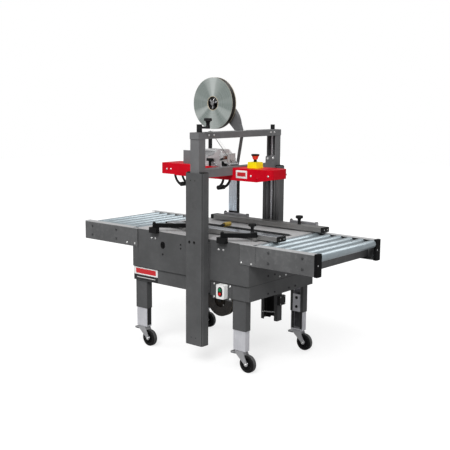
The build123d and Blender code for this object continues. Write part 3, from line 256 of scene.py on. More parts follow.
class Surface(NodeSheet):
    """One material's shader, with the measures that every finish reads."""

    def __init__(self, name: str) -> None:
        """Makes the material and its object coordinates.

        Args:
            name: The material's name.
        """
        self.material = bpy.data.materials.new(name)
        self.material.use_nodes = True
        self.material.node_tree.nodes.clear()
        super().__init__(self.material.node_tree)
        self.place = self.node("ShaderNodeTexCoord").outputs["Object"]
        apart = self.node("ShaderNodeSeparateXYZ", {}, {0: self.place})
        self.x, self.y, self.z = (Value(self, s) for s in apart.outputs)

    def stretched(self, scale: tuple[float, float, float]) -> bpy.types.NodeSocket:
        """Returns the object coordinates, stretched by a scale along each axis."""
        made = self.node("ShaderNodeMapping", {}, {"Vector": self.place, "Scale": scale})
        return made.outputs[0]

    def noise(
        self,
        scale: float,
        detail: float = 3.0,
        roughness: float = 0.55,
        stretch: tuple[float, float, float] | None = None,
    ) -> Value:
        """Makes a cloudy value from 0 to 1.

        Args:
            scale: How many clouds to a metre.
            detail: How many finer layers it has.
            roughness: How strong the finer layers are.
            stretch: A scale along each axis, for a grain.

        Returns:
            The noise.
        """
        place = self.stretched(stretch) if stretch else self.place
        made = self.node(
            "ShaderNodeTexNoise",
            {},
            {"Vector": place, "Scale": scale, "Detail": detail, "Roughness": roughness},
        )
        return Value(self, made.outputs[0])

    def cells(self, scale: float, feature: str = "F1") -> Value:
        """Returns the distance to the nearest point of a scatter, for speckle and pits."""
        made = self.node(
            "ShaderNodeTexVoronoi", {"feature": feature}, {"Vector": self.place, "Scale": scale}
        )
        return Value(self, made.outputs[0])

    def mixed(self, factor: Given, first: Given, second: Given) -> bpy.types.NodeSocket:
        """Mixes two colours.

        Args:
            factor: How much of the second colour there is.
            first: A colour or a colour socket.
            second: A colour or a colour socket.

        Returns:
            The mixed colour.
        """
        made = self.node(
            "ShaderNodeMix", {"data_type": "RGBA"}, {0: factor, 6: first, 7: second}
        )
        return made.outputs[2]

    def rounded(self, radius: float) -> bpy.types.NodeSocket:
        """Returns a normal that is softened over edges within a radius."""
        return self.node("ShaderNodeBevel", {"samples": 4}, {"Radius": radius}).outputs[0]

    def edge_wear(self, softened: bpy.types.NodeSocket, reach: float) -> Value:
        """Finds edges, broken up as wear is.

        Args:
            softened: The normal from rounded.
            reach: How much of the softened band counts, from 0 to 1.

        Returns:
            1 on an edge and 0 on a flat.
        """
        true_normal = self.node("ShaderNodeNewGeometry").outputs["Normal"]
        dot = self.node(
            "ShaderNodeVectorMath", {"operation": "DOT_PRODUCT"}, {0: softened, 1: true_normal}
        )
        bend = 1.0 - Value(self, dot.outputs["Value"])
        broken = self.noise(90.0, 4.0, 0.7)
        return (bend * 4.0 * reach).ramp(0.12, 0.6) * broken.ramp(0.36, 0.62)

    def bumped(
        self, height: Given, distance: float, softened: bpy.types.NodeSocket | None = None
    ) -> bpy.types.NodeSocket:
        """Turns a height into a normal.

        Args:
            height: A value from 0 to 1.
            distance: How deep a height of 1 is, in metres.
            softened: The normal that it starts from.

        Returns:
            The bumped normal.
        """
        inputs: dict[str | int, Given] = {"Height": height, "Distance": distance, "Strength": 1.0}
        if softened is not None:
            inputs["Normal"] = softened
        return self.node("ShaderNodeBump", {}, inputs).outputs[0]

    def close(self, inputs: dict[str | int, Given]) -> bpy.types.Material:
        """Adds the shader and the output.

        Args:
            inputs: Values or links of the shader's sockets.

        Returns:
            The finished material.
        """
        shader = self.node("ShaderNodeBsdfPrincipled", {}, inputs)
        self.node("ShaderNodeOutputMaterial", {}, {"Surface": shader})
        return self.material


@dataclass(frozen=True)
class Finish:
    """A finish that is made into a material once and kept."""

    name: str

    def material(self) -> bpy.types.Material:
        """Returns the finish's material, which is made on its first use."""
        known = bpy.data.materials.get(self.name)
        return known if known is not None else self.lay()

    def lay(self) -> bpy.types.Material:
        """Returns a new material, which each kind of finish makes in its own way."""
        raise NotImplementedError


@dataclass(frozen=True)
class Region:
    """A box of the machine, in metres, where a mixed finish changes."""

    low: Point
    high: Point

    def mask(self, surface: Surface) -> Value:
        """Returns 1 inside the box and 0 outside, on a surface."""
        total: Value | None = None
        for axis, start, end in zip((surface.x, surface.y, surface.z), self.low, self.high):
            inside = axis.ramp(start - REGION_EDGE, start + REGION_EDGE)
            inside = inside * axis.ramp(end + REGION_EDGE, end - REGION_EDGE)
            total = inside if total is None else total * inside
        return total


@dataclass(frozen=True)
class Dot:
    """A ball round a point, in metres, which marks a round spot on a face."""

    centre: Point
    radius: float

    def mask(self, surface: Surface) -> Value:
        """Returns 1 inside the ball and 0 outside, on a surface."""
        apart = surface.node(
            "ShaderNodeVectorMath", {"operation": "DISTANCE"}, {0: surface.place, 1: self.centre}
        )
        distance = Value(surface, apart.outputs["Value"])
        return distance.ramp(self.radius + DOT_EDGE, self.radius - DOT_EDGE)


Mark = Region | Dot


@dataclass(frozen=True)
class Patch:
    """A mark where a mixed finish shows a paint or plating of its own."""

    mark: Mark
    colour: Colour
    metallic: float
    gloss: float


@dataclass(frozen=True)
class PaintedSteel(Finish):
    """Sheet steel with a baked coat of paint, worn a little at its edges."""

    colour: Colour = CHARCOAL
    worn: Colour = grey(0.22)
    gloss: float = 0.46
    wear: float = 0.5
    softness: float = 0.0016
    peel: float = 0.00006
    # Marks painted near-black: dark joints, and on some finishes painted shade in holes and recesses.
    seams_and_painted_shade: tuple[Mark, ...] = ()
    # Marks painted in the worn colour: worn paint, which on the channels also paints a highlight
    # along the top edge.
    rubbed_and_highlit: tuple[Mark, ...] = ()
    shine: float = 0.25

    def lay(self) -> bpy.types.Material:
        """Returns the paint: orange peel, faint clouds, handling dust and pale edges."""
        surface = Surface(self.name)
        softened = surface.rounded(self.softness)
        edges = surface.edge_wear(softened, self.wear)
        clouds = surface.noise(5.0, 4.0)
        dust = surface.noise(38.0, 5.0, 0.65).ramp(0.46, 0.8)
        rubs = surface.noise(7.0, 5.0, 0.7, (1.0, 1.0, 9.0)).ramp(0.6, 0.78)
        deep = toned(self.colour, 0.86)
        pale = toned(self.colour, 1.1)
        base = surface.mixed(clouds.ramp(0.3, 0.7), deep, pale)
        base = surface.mixed(dust * 0.1 + rubs * 0.06, base, self.worn)
        base = surface.mixed(edges * 0.75, base, self.worn)
        # Near-black marks: dark joints, and painted shade where a finish lists it.
        for dark_mark in self.seams_and_painted_shade:
            base = surface.mixed(dark_mark.mask(surface) * 0.85, base, grey(0.006))
        # Pale strips in the worn colour: worn paint that also paints a highlight.
        for rub in self.rubbed_and_highlit:
            base = surface.mixed(rub.mask(surface) * (clouds * 0.3 + 0.6), base, self.worn)
        rough = self.gloss + (clouds - 0.5) * 0.12 + dust * 0.08 - edges * 0.1
        orange_peel = surface.noise(650.0, 2.0, 0.5) + surface.noise(120.0, 2.0) * 0.6
        return surface.close(
            {
                "Base Color": base,
                "Roughness": rough,
                "Specular IOR Level": self.shine,
                "Normal": surface.bumped(orange_peel, self.peel, softened),
            }
        )


@dataclass(frozen=True)
class PlatedSteel(Finish):
    """Zinc-plated, rolled or ground steel with a grain and faint stains."""

    colour: Colour = (0.56, 0.57, 0.58)
    shade: Colour = (0.36, 0.37, 0.39)
    gloss: float = 0.32
    grain: Grain = Grain.NONE
    scuffs: float = 0.35
    metallic: float = 0.85
    softness: float = 0.0008
    # Marks where shade is painted nearly black into the plating.
    shaded: tuple[Mark, ...] = ()

    def lay(self) -> bpy.types.Material:
        """Returns the metal: a fine grain, cloudy plating, scuffs and bright edges."""
        surface = Surface(self.name)
        softened = surface.rounded(self.softness)
        edges = surface.edge_wear(softened, 0.8)
        hair = surface.noise(2.6, 5.0, 0.75, self.grain.value)
        clouds = surface.noise(11.0, 5.0, 0.62)
        spangle = surface.cells(60.0)
        scuff = surface.noise(6.0, 6.0, 0.75, self.grain.value).ramp(0.56, 0.74)
        tone = hair.ramp(0.3, 0.72) * 0.5 + clouds.ramp(0.32, 0.7) * 0.35 + spangle * 0.15
        base = surface.mixed(tone, self.shade, self.colour)
        bright = toned(self.colour, 1.25)
        base = surface.mixed(edges * 0.6, base, bright)
        dull = toned(self.colour, 0.62)
        base = surface.mixed(scuff * self.scuffs, base, dull)
        # Painted shade: each listed mark is darkened nearly to black.
        for shade_mark in self.shaded:
            base = surface.mixed(shade_mark.mask(surface) * 0.96, base, (0.01, 0.01, 0.012))
        rough = self.gloss + (hair - 0.5) * 0.2 + scuff * self.scuffs * 0.25
        return surface.close(
            {
                "Base Color": base,
                "Roughness": rough,
                "Metallic": self.metallic,
                "Normal": surface.bumped(hair + scuff * 0.5, 0.00005, softened),
            }
        )


@dataclass(frozen=True)
class MouldedPlastic(Finish):
    """Moulded plastic with a spark-eroded grain."""

    colour: Colour = (0.0075, 0.0075, 0.008)
    gloss: float = 0.42
    grain_depth: float = 0.00005
    dust: float = 0.08
    shine: float = 0.16

    def lay(self) -> bpy.types.Material:
        """Returns the plastic: a leathery grain, scuffed edges and a little dust."""
        surface = Surface(self.name)
        softened = surface.rounded(0.001)
        edges = surface.edge_wear(softened, 0.5)
        clouds = surface.noise(14.0, 4.0)
        grain = surface.cells(900.0, "SMOOTH_F1")
        speck = surface.noise(60.0, 5.0, 0.7).ramp(0.52, 0.8)
        pale = toned(self.colour, 0.8, 0.03)
        deep = toned(self.colour, 0.78)
        base = surface.mixed(clouds.ramp(0.3, 0.7), deep, self.colour)
        base = surface.mixed(speck * self.dust + edges * 0.3, base, pale)
        rough = self.gloss + speck * 0.15 + (clouds - 0.5) * 0.1
        return surface.close(
            {
                "Base Color": base,
                "Roughness": rough,
                "Specular IOR Level": self.shine,
                "Normal": surface.bumped(grain, self.grain_depth, softened),
            }
        )


@dataclass(frozen=True)
class Rubber(Finish):
    """Vulcanised rubber or a rubber-coated belt, with a faint bloom and a cloth backing."""

    colour: Colour = (0.03, 0.031, 0.033)
    bloom: Colour = (0.12, 0.12, 0.118)
    gloss: float = 0.72
    weave: float = 900.0

    def lay(self) -> bpy.types.Material:
        """Returns the rubber: a fine weave, dusty bloom and scuffed high spots."""
        surface = Surface(self.name)
        threads_x = (surface.x * self.weave * TURN / 3.0).wave()
        threads_y = (surface.y * self.weave * TURN / 3.0).wave()
        weave = threads_x * threads_y * 0.5 + 0.5
        bloom = surface.noise(24.0, 5.0, 0.7).ramp(0.42, 0.82)
        fine = surface.noise(300.0, 3.0)
        base = surface.mixed(bloom * 0.55 + fine * 0.08, self.colour, self.bloom)
        return surface.close(
            {
                "Base Color": base,
                "Roughness": self.gloss + (fine - 0.5) * 0.16,
                "Specular IOR Level": 0.15,
                "Normal": surface.bumped(weave * 0.4 + fine, 0.00006),
            }
        )


@dataclass(frozen=True)
class WoundTape(Finish):
    """The side of a roll of tape: fine rings, with a painted sheen in wedges across them."""

    centre: tuple[float, float] = (0.0, 0.0)
    colour: Colour = (0.3, 0.34, 0.32)
    # The colour of the painted sheen.
    light: Colour = (0.62, 0.66, 0.64)
    dark: Colour = (0.16, 0.19, 0.18)
    gloss: float = 0.3
    # How strong the painted sheen is.
    wedges: float = 0.9

    def lay(self) -> bpy.types.Material:
        """Returns the wound film: rings of layers, a painted radial sheen and a slight translucence.
        """
        surface = Surface(self.name)
        across = surface.x - self.centre[0]
        up = surface.z - self.centre[1]
        radius = (across * across + up * up) ** 0.5
        angle = up.angle_from(across)
        rings = surface.node(
            "ShaderNodeTexNoise",
            {"noise_dimensions": "1D"},
            {"W": radius * 420.0, "Scale": 1.0, "Detail": 4.0},
        ).outputs[0]
        ring_tone = Value(surface, rings)
        # Painted sheen: wedges by angle round the roll's middle, painted lighter into the colour.
        broad = (angle * 2.0 - TURN / 4.0).wave() * 0.5 + 0.5
        narrow = (angle * 3.0 - TURN / 2.0).wave() * 0.5 + 0.5
        fans = (angle * 7.0 + 0.6).wave() * 0.5 + 0.5
        sheen = broad.ramp(0.7, 1.0) * 0.38 + narrow.ramp(0.84, 1.0) * 0.4
        sheen = (sheen + fans.ramp(0.6, 1.0) * 0.1) * self.wedges
        base = surface.mixed(ring_tone.ramp(0.3, 0.7), self.dark, self.colour)
        base = surface.mixed(sheen, base, self.light)
        return surface.close(
            {
                "Base Color": base,
                "Roughness": self.gloss + (ring_tone - 0.5) * 0.2,
                "IOR": 1.47,
                "Coat Weight": 0.25,
                "Coat Roughness": 0.2,
                "Normal": surface.bumped(ring_tone, 0.00012),
            }
        )


@dataclass(frozen=True)
class TapeFilm(Finish):
    """The thin clear tape on its way to the head: see-through, with one folded, darker edge."""

    colour: Colour = (0.2, 0.19, 0.17)
    light: Colour = (0.6, 0.59, 0.55)
    edge_shift: float = 0.0155
    edge_width: float = 0.0045
    gloss: float = 0.18

    def lay(self) -> bpy.types.Material:
        """Returns the film: long stretch lines, small bubbles and the dark edge."""
        surface = Surface(self.name)
        lines = surface.noise(2.0, 4.0, 0.7, (30.0, 420.0, 12.0))
        bubbles = surface.cells(240.0).ramp(0.05, 0.3)
        edge = abs(surface.y + self.edge_shift).ramp(self.edge_width, self.edge_width * 0.6)
        base = surface.mixed(lines.ramp(0.3, 0.75), self.light, self.colour)
        base = surface.mixed(edge, base, toned(self.colour, 0.2))
        return surface.close(
            {
                "Base Color": base,
                "Roughness": self.gloss + (lines - 0.5) * 0.15,
                "Specular IOR Level": 0.3,
                "Alpha": edge * 0.82 + lines * 0.06 + 0.05,
                "Normal": surface.bumped(lines + bubbles * 0.4, 0.00008),
            }
        )


@dataclass(frozen=True)
class PlainLabel(Finish):
    """A decal without words: a coloured bar on a pale ground, over a dark strip if it has one."""

    low: Point = (0.0, 0.0, 0.0)
    high: Point = (1.0, 0.0, 1.0)
    bar: Colour = (0.56, 0.016, 0.022)
    ground: Colour = (0.9, 0.89, 0.88)
    strip: Colour = (0.008, 0.008, 0.009)
    strip_share: float = 0.0
    margin: float = 0.2

    def lay(self) -> bpy.types.Material:
        """Returns the vinyl: the bar, the strip with its pale line, slight fading and scuffs."""
        surface = Surface(self.name)
        height = (surface.z - self.low[2]) / (self.high[2] - self.low[2])
        run = (surface.x - self.low[0]) / (self.high[0] - self.low[0])
        share = self.strip_share
        low_edge = share + self.margin * (1.0 - share)
        high_edge = 1.0 - self.margin * (1.0 - share)
        tall = height.ramp(low_edge - 0.01, low_edge + 0.01)
        tall = tall * height.ramp(high_edge + 0.01, high_edge - 0.01)
        side = self.margin * 0.5
        wide = run.ramp(side - 0.005, side + 0.005) * run.ramp(1.005 - side, 0.995 - side)
        scuff = surface.noise(120.0, 5.0, 0.75).ramp(0.55, 0.8)
        fade = surface.noise(18.0, 3.0)
        base: Given = surface.mixed(fade, toned(self.ground, 0.86), self.ground)
        base = surface.mixed(tall * wide, base, self.bar)
        if share > 0.0:
            line = abs(height - share * 0.5).ramp(0.04, 0.025)
            line = line * run.ramp(0.12, 0.13) * run.ramp(0.9, 0.89)
            base = surface.mixed(height.ramp(share + 0.01, share - 0.01), base, self.strip)
            base = surface.mixed(line * 0.7, base, self.ground)
        base = surface.mixed(scuff * 0.12, base, grey(0.3))
        return surface.close(
            {
                "Base Color": base,
                "Roughness": 0.34 + scuff * 0.2,
                "Coat Weight": 0.2,
                "Normal": surface.bumped(fade + scuff * 0.3, 0.00004),
            }
        )


@dataclass(frozen=True)
class PatchedMetal(Finish):
    """One solid whose pieces have their own paint or plating, told apart by where they are."""

    ground: Colour = grey(0.1)
    ground_metal: float = 0.0
    ground_gloss: float = 0.42
    patches: tuple[Patch, ...] = ()
    shine: float = 0.2
    rub: Colour = (0.5, 0.5, 0.49)
    grain: Grain = Grain.ALONG_Z

    def lay(self) -> bpy.types.Material:
        """Returns the metals: each patch with its colour, metal and gloss, over one grain."""
        surface = Surface(self.name)
        softened = surface.rounded(0.001)
        edges = surface.edge_wear(softened, 0.7)
        hair = surface.noise(2.6, 5.0, 0.75, self.grain.value)
        clouds = surface.noise(9.0, 5.0, 0.6)
        base: Given = surface.mixed(clouds.ramp(0.3, 0.7), toned(self.ground, 0.82), self.ground)
        metal: Given = self.ground_metal
        gloss: Given = self.ground_gloss
        for patch in self.patches:
            mask = patch.mark.mask(surface)
            shaded = surface.mixed(hair.ramp(0.3, 0.7), toned(patch.colour, 0.74), patch.colour)
            base = surface.mixed(mask, base, shaded)
            metal = mask * (patch.metallic - self.ground_metal) + metal
            gloss = mask * (patch.gloss - self.ground_gloss) + gloss
        base = surface.mixed(edges * 0.35, base, self.rub)
        return surface.close(
            {
                "Base Color": base,
                "Specular IOR Level": self.shine,
                "Metallic": metal,
                "Roughness": (clouds - 0.5) * 0.14 + (hair - 0.5) * 0.1 + gloss,
                "Normal": surface.bumped(hair + clouds, 0.00005, softened),
            }
        )


@dataclass(frozen=True)
class StudioFloor(Finish):
    """The pale sweep that the machine stands on, which throws back less light than it shows."""

    colour: Colour = grey(0.36)
    bounce: Colour = grey(0.36)
    glow: float = 0.7

    def lay(self) -> bpy.types.Material:
        """Returns a matt pale paint with the faintest mottling."""
        surface = Surface(self.name)
        mottle = surface.noise(1.5, 3.0)
        base = surface.mixed(mottle, toned(self.colour, 0.985), self.colour)
        matt: dict[str | int, Given] = {"Roughness": 0.9, "Specular IOR Level": 0.0}
        glow: dict[str | int, Given] = {"Emission Color": WHITE, "Emission Strength": self.glow}
        shown = surface.node("ShaderNodeBsdfPrincipled", {}, {"Base Color": base, **matt, **glow})
        lit = surface.node("ShaderNodeBsdfPrincipled", {}, {"Base Color": self.bounce, **matt})
        seen = surface.node("ShaderNodeLightPath").outputs["Is Camera Ray"]
        both = surface.node("ShaderNodeMixShader", {}, {0: seen, 1: lit, 2: shown})
        surface.node("ShaderNodeOutputMaterial", {}, {"Surface": both})
        return surface.material


class Workpiece:
    """Collects the faces of one piece, each with its finish, and turns them into one object."""

    def __init__(self, name: str, body: str) -> None:
        """Starts an empty piece.

        Args:
            name: The piece's name.
            body: The CAD body that it moves with.
        """
        self.name = name
        self.body = body
        self.mesh = bmesh.new()
        self.finishes: list[Finish] = []

    def _number(self, finish: Finish) -> int:
        """Returns the finish's place in the piece's list, adding it if it is new."""
        if finish not in self.finishes:
            self.finishes.append(finish)
        return self.finishes.index(finish)

    def take(self, vertices: Iterable[bmesh.types.BMVert], finish: Finish, frame: Matrix) -> None:
        """Moves new vertices to their place and gives their faces a finish.

        Args:
            vertices: The vertices just made, round the origin.
            finish: What their faces are finished with.
            frame: Where they go.
        """
        number = self._number(finish)
        taken = list(vertices)
        bmesh.ops.transform(self.mesh, matrix=frame, verts=taken)
        for face in {f for v in taken for f in v.link_faces}:
            face.material_index = number

    def turned(
        self, profile: Profile, frame: Matrix, finish: Finish, sides: int = 40, bore: bool = False
    ) -> None:
        """Turns a profile round the frame's Z axis.

        Args:
            profile: Radius and height of each corner, from the bottom up.
            frame: Where the turned form goes.
            finish: Its finish.
            sides: The number of facets round it.
            bore: True if the profile closes on itself, as a ring's does.
        """
        rings: list[list[bmesh.types.BMVert]] = []
        for radius, height in profile:
            corners = [TURN * k / sides for k in range(sides if radius >= POINT_RADIUS else 1)]
            ring = [(radius * math.cos(a), radius * math.sin(a), height) for a in corners]
            rings.append([self.mesh.verts.new(corner) for corner in ring])
        pairs = list(zip(rings, rings[1:]))
        if bore:
            pairs.append((rings[-1], rings[0]))
        for lower, upper in pairs:
            self._bridge(self.mesh, lower, upper, sides)
        if not bore:
            if len(rings[0]) > 1:
                self.mesh.faces.new(list(reversed(rings[0])))
            if len(rings[-1]) > 1:
                self.mesh.faces.new(rings[-1])
        self.take([v for ring in rings for v in ring], finish, frame)

    @staticmethod
    def _bridge(
        mesh: bmesh.types.BMesh,
        lower: list[bmesh.types.BMVert],
        upper: list[bmesh.types.BMVert],
        sides: int,
    ) -> None:
        """Joins two rings of vertices, either of which may be a single point."""
        for k in range(sides):
            n = (k + 1) % sides
            if len(lower) == 1 and len(upper) == 1:
                continue
            if len(lower) == 1:
                corners = [lower[0], upper[n], upper[k]]
            elif len(upper) == 1:
                corners = [lower[k], lower[n], upper[0]]
            else:
                corners = [lower[k], lower[n], upper[n], upper[k]]
            mesh.faces.new(corners)

    def plate(
        self,
        outline: Profile,
        thickness: float,
        frame: Matrix,
        finish: Finish,
        soft: float = 0.0006,
    ) -> None:
        """Cuts a plate from an outline in the frame's XY plane and eases its edges.

        Args:
            outline: Its corners, anticlockwise.
            thickness: How far it rises along the frame's Z axis.
            frame: Where it goes.
            finish: Its finish.
            soft: The width of the eased edge.
        """
        form = bmesh.new()
        bottom = [form.verts.new((x, y, 0.0)) for x, y in outline]
        top = [form.verts.new((x, y, thickness)) for x, y in outline]
        lid = form.faces.new(top)
        base = form.faces.new(list(reversed(bottom)))
        self._bridge(form, bottom, top, len(outline))
        rims = list(dict.fromkeys(e for face in (lid, base) for e in face.edges))
        self.take(self._eased(form, rims, soft), finish, frame)

    def block(self, low: Point, high: Point, finish: Finish, soft: float = 0.001) -> None:
        """Adds a block between two corners, with eased edges.

        Args:
            low: Its lowest corner.
            high: Its highest corner.
            finish: Its finish.
            soft: The width of the eased edges.
        """
        form = bmesh.new()
        bmesh.ops.create_cube(form, size=1.0)
        middle = (Vector(low) + Vector(high)) / 2.0
        size = Vector(high) - Vector(low)
        bmesh.ops.scale(form, vec=size, verts=list(form.verts))
        eased = self._eased(form, list(form.edges), soft)
        self.take(eased, finish, Matrix.Translation(middle))

    def _eased(
        self, form: bmesh.types.BMesh, edges: list[bmesh.types.BMEdge], soft: float
    ) -> list[bmesh.types.BMVert]:
        """Eases edges of a form and copies it to the piece's mesh.

        The form has a mesh of its own. Easing frees vertices and faces in no fixed order, and what
        is made next in the same mesh takes their places, so its order would vary from run to run.

        Args:
            form: The form's own mesh, which is freed here.
            edges: The edges that are eased.
            soft: The width of the eased edge.

        Returns:
            The form's vertices in the piece's mesh.
        """
        bmesh.ops.bevel(form, geom=edges, offset=soft, segments=2, affect="EDGES", profile=0.5)
        copies = {v: self.mesh.verts.new(v.co) for v in form.verts}
        for face in form.faces:
            self.mesh.faces.new([copies[v] for v in face.verts])
        form.free()
        return list(copies.values())

    def rim(self, levels: Sequence[tuple[Profile, float]], frame: Matrix, finish: Finish) -> None:
        """Adds a closed rim through outlines that have as many points.

        Args:
            levels: Each outline and its height, round the rim's section.
            frame: Where it goes.
            finish: Its finish.
        """
        loops = [[self.mesh.verts.new((x, y, h)) for x, y in outline] for outline, h in levels]
        for lower, upper in zip(loops, loops[1:] + loops[:1]):
            self._bridge(self.mesh, lower, upper, len(lower))
        self.take([v for loop in loops for v in loop], finish, frame)

    def rod(
        self, start: Point, end: Point, radius: float, finish: Finish, sides: int = 20
    ) -> None:
        """Adds a round rod between two points, with chamfered ends.

        Args:
            start: The middle of one end.
            end: The middle of the other end.
            radius: Its radius.
            finish: Its finish.
            sides: The number of facets round it.
        """
        run = Vector(end) - Vector(start)
        length, narrow = run.length, radius - ROD_CHAMFER
        profile = [
            (narrow, 0.0),
            (radius, ROD_CHAMFER),
            (radius, length - ROD_CHAMFER),
            (narrow, length),
        ]
        self.turned(profile, pointed(start, run), finish, sides)

    def ribbon(
        self, path: Sequence[Point], across: Vector, width: float, thickness: float, finish: Finish
    ) -> None:
        """Lays a flat band along a path.

        Args:
            path: The middle line of the band.
            across: The direction of its width.
            width: How wide it is.
            thickness: How thick it is.
            finish: Its finish.
        """
        side = across.normalized() * width / 2.0
        rows: list[list[bmesh.types.BMVert]] = []
        last = len(path) - 1
        for k, point in enumerate(path):
            ahead = Vector(path[min(k + 1, last)]) - Vector(path[max(k - 1, 0)])
            out = ahead.normalized().cross(across.normalized()) * thickness / 2.0
            corners = (-side - out, side - out, side + out, out - side)
            rows.append([self.mesh.verts.new(Vector(point) + corner) for corner in corners])
        for lower, upper in zip(rows, rows[1:]):
            self._bridge(self.mesh, lower, upper, 4)
        self.mesh.faces.new(list(reversed(rows[0])))
        self.mesh.faces.new(rows[-1])
        self.take([v for row in rows for v in row], finish, Matrix.Identity(4))

    def finish_off(self, replaces: Sequence[str] = ()) -> bpy.types.Object:
        """Makes the object, sets its place in the frame and reports it.

        Args:
            replaces: The CAD nodes that it stands for.

        Returns:
            The object.
        """
        bmesh.ops.recalc_face_normals(self.mesh, faces=self.mesh.faces)
        data = bpy.data.meshes.new(self.name)
        self.mesh.to_mesh(data)
        self.mesh.free()
        for finish in self.finishes:
            data.materials.append(finish.material())
        smooth(data)
        piece = linked(self.name, data)
        settle(piece, self.body, replaces)
        return piece


def linked(name: str, data: bpy.types.ID) -> bpy.types.Object:
    """Makes an object of a mesh, a lamp or a camera, and links it into the scene."""
    made = bpy.data.objects.new(name, data)
    bpy.context.scene.collection.objects.link(made)
    return made


def smooth(mesh: bpy.types.Mesh) -> None:
    """Shades a mesh smooth, with sharp edges where its faces turn by more than the set angle."""
    mesh.polygons.foreach_set("use_smooth", [True] * len(mesh.polygons))
    mesh.set_sharp_from_angle(angle=SHARP_ANGLE)


def settle(
    piece: bpy.types.Object, body: str, replaces: Sequence[str] = ()
) -> None:
    """Makes a piece ride on its body and stand for its nodes, and reports it.

    Args:
        piece: The finished piece.
        body: The CAD body that it moves with.
        replaces: The CAD nodes that it stands for.
    """
    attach(piece, body)
    if replaces:
        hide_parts(*replaces)
    LOG.info("%s rides on %s with %d faces", piece.name, body, len(piece.data.polygons))


def pointed(origin: Sequence[float], axis: Sequence[float], spin: float = 0.0) -> Matrix:
    """Returns a frame at a point whose Z axis runs along a direction.

    Args:
        origin: The point.
        axis: The direction of its Z axis.
        spin: A turn about that axis, in radians.

    Returns:
        The frame.
    """
    turn = Vector(axis).to_track_quat("Z", "Y").to_matrix().to_4x4()
    return Matrix.Translation(Vector(origin)) @ turn @ Matrix.Rotation(spin, 4, "Z")


def framed(origin: Sequence[float], x_axis: Sequence[float], y_axis: Sequence[float]) -> Matrix:
    """Returns a frame at a point with the two given directions as its X and Y axes."""
    x = Vector(x_axis).normalized()
    y = Vector(y_axis).normalized()
    turn = Matrix((x, y, x.cross(y))).transposed().to_4x4()
    return Matrix.Translation(Vector(origin)) @ turn


def rounded_outline(width: float, height: float, radius: float, steps: int = 5) -> Profile:
    """Returns a rectangle round the origin with rounded corners, anticlockwise.

    Args:
        width: Its size along X.
        height: Its size along Y.
        radius: The radius of its corners.
        steps: The number of facets in each corner.

    Returns:
        Its corners.
    """
    corners = [(1, 1, 0.0), (-1, 1, 0.25), (-1, -1, 0.5), (1, -1, 0.75)]
    points = []
    for sx, sy, start in corners:
        cx, cy = sx * (width / 2.0 - radius), sy * (height / 2.0 - radius)
        for k in range(steps + 1):
            a = TURN * (start + 0.25 * k / steps)
            points.append((cx + radius * math.cos(a), cy + radius * math.sin(a)))
    return points


def stadium(width: float, height: float) -> Profile:
    """Returns a slot outline round the origin, taller than it is wide, anticlockwise."""
    return rounded_outline(width, height, width / 2.0 - SLOT_FLAT, 10)


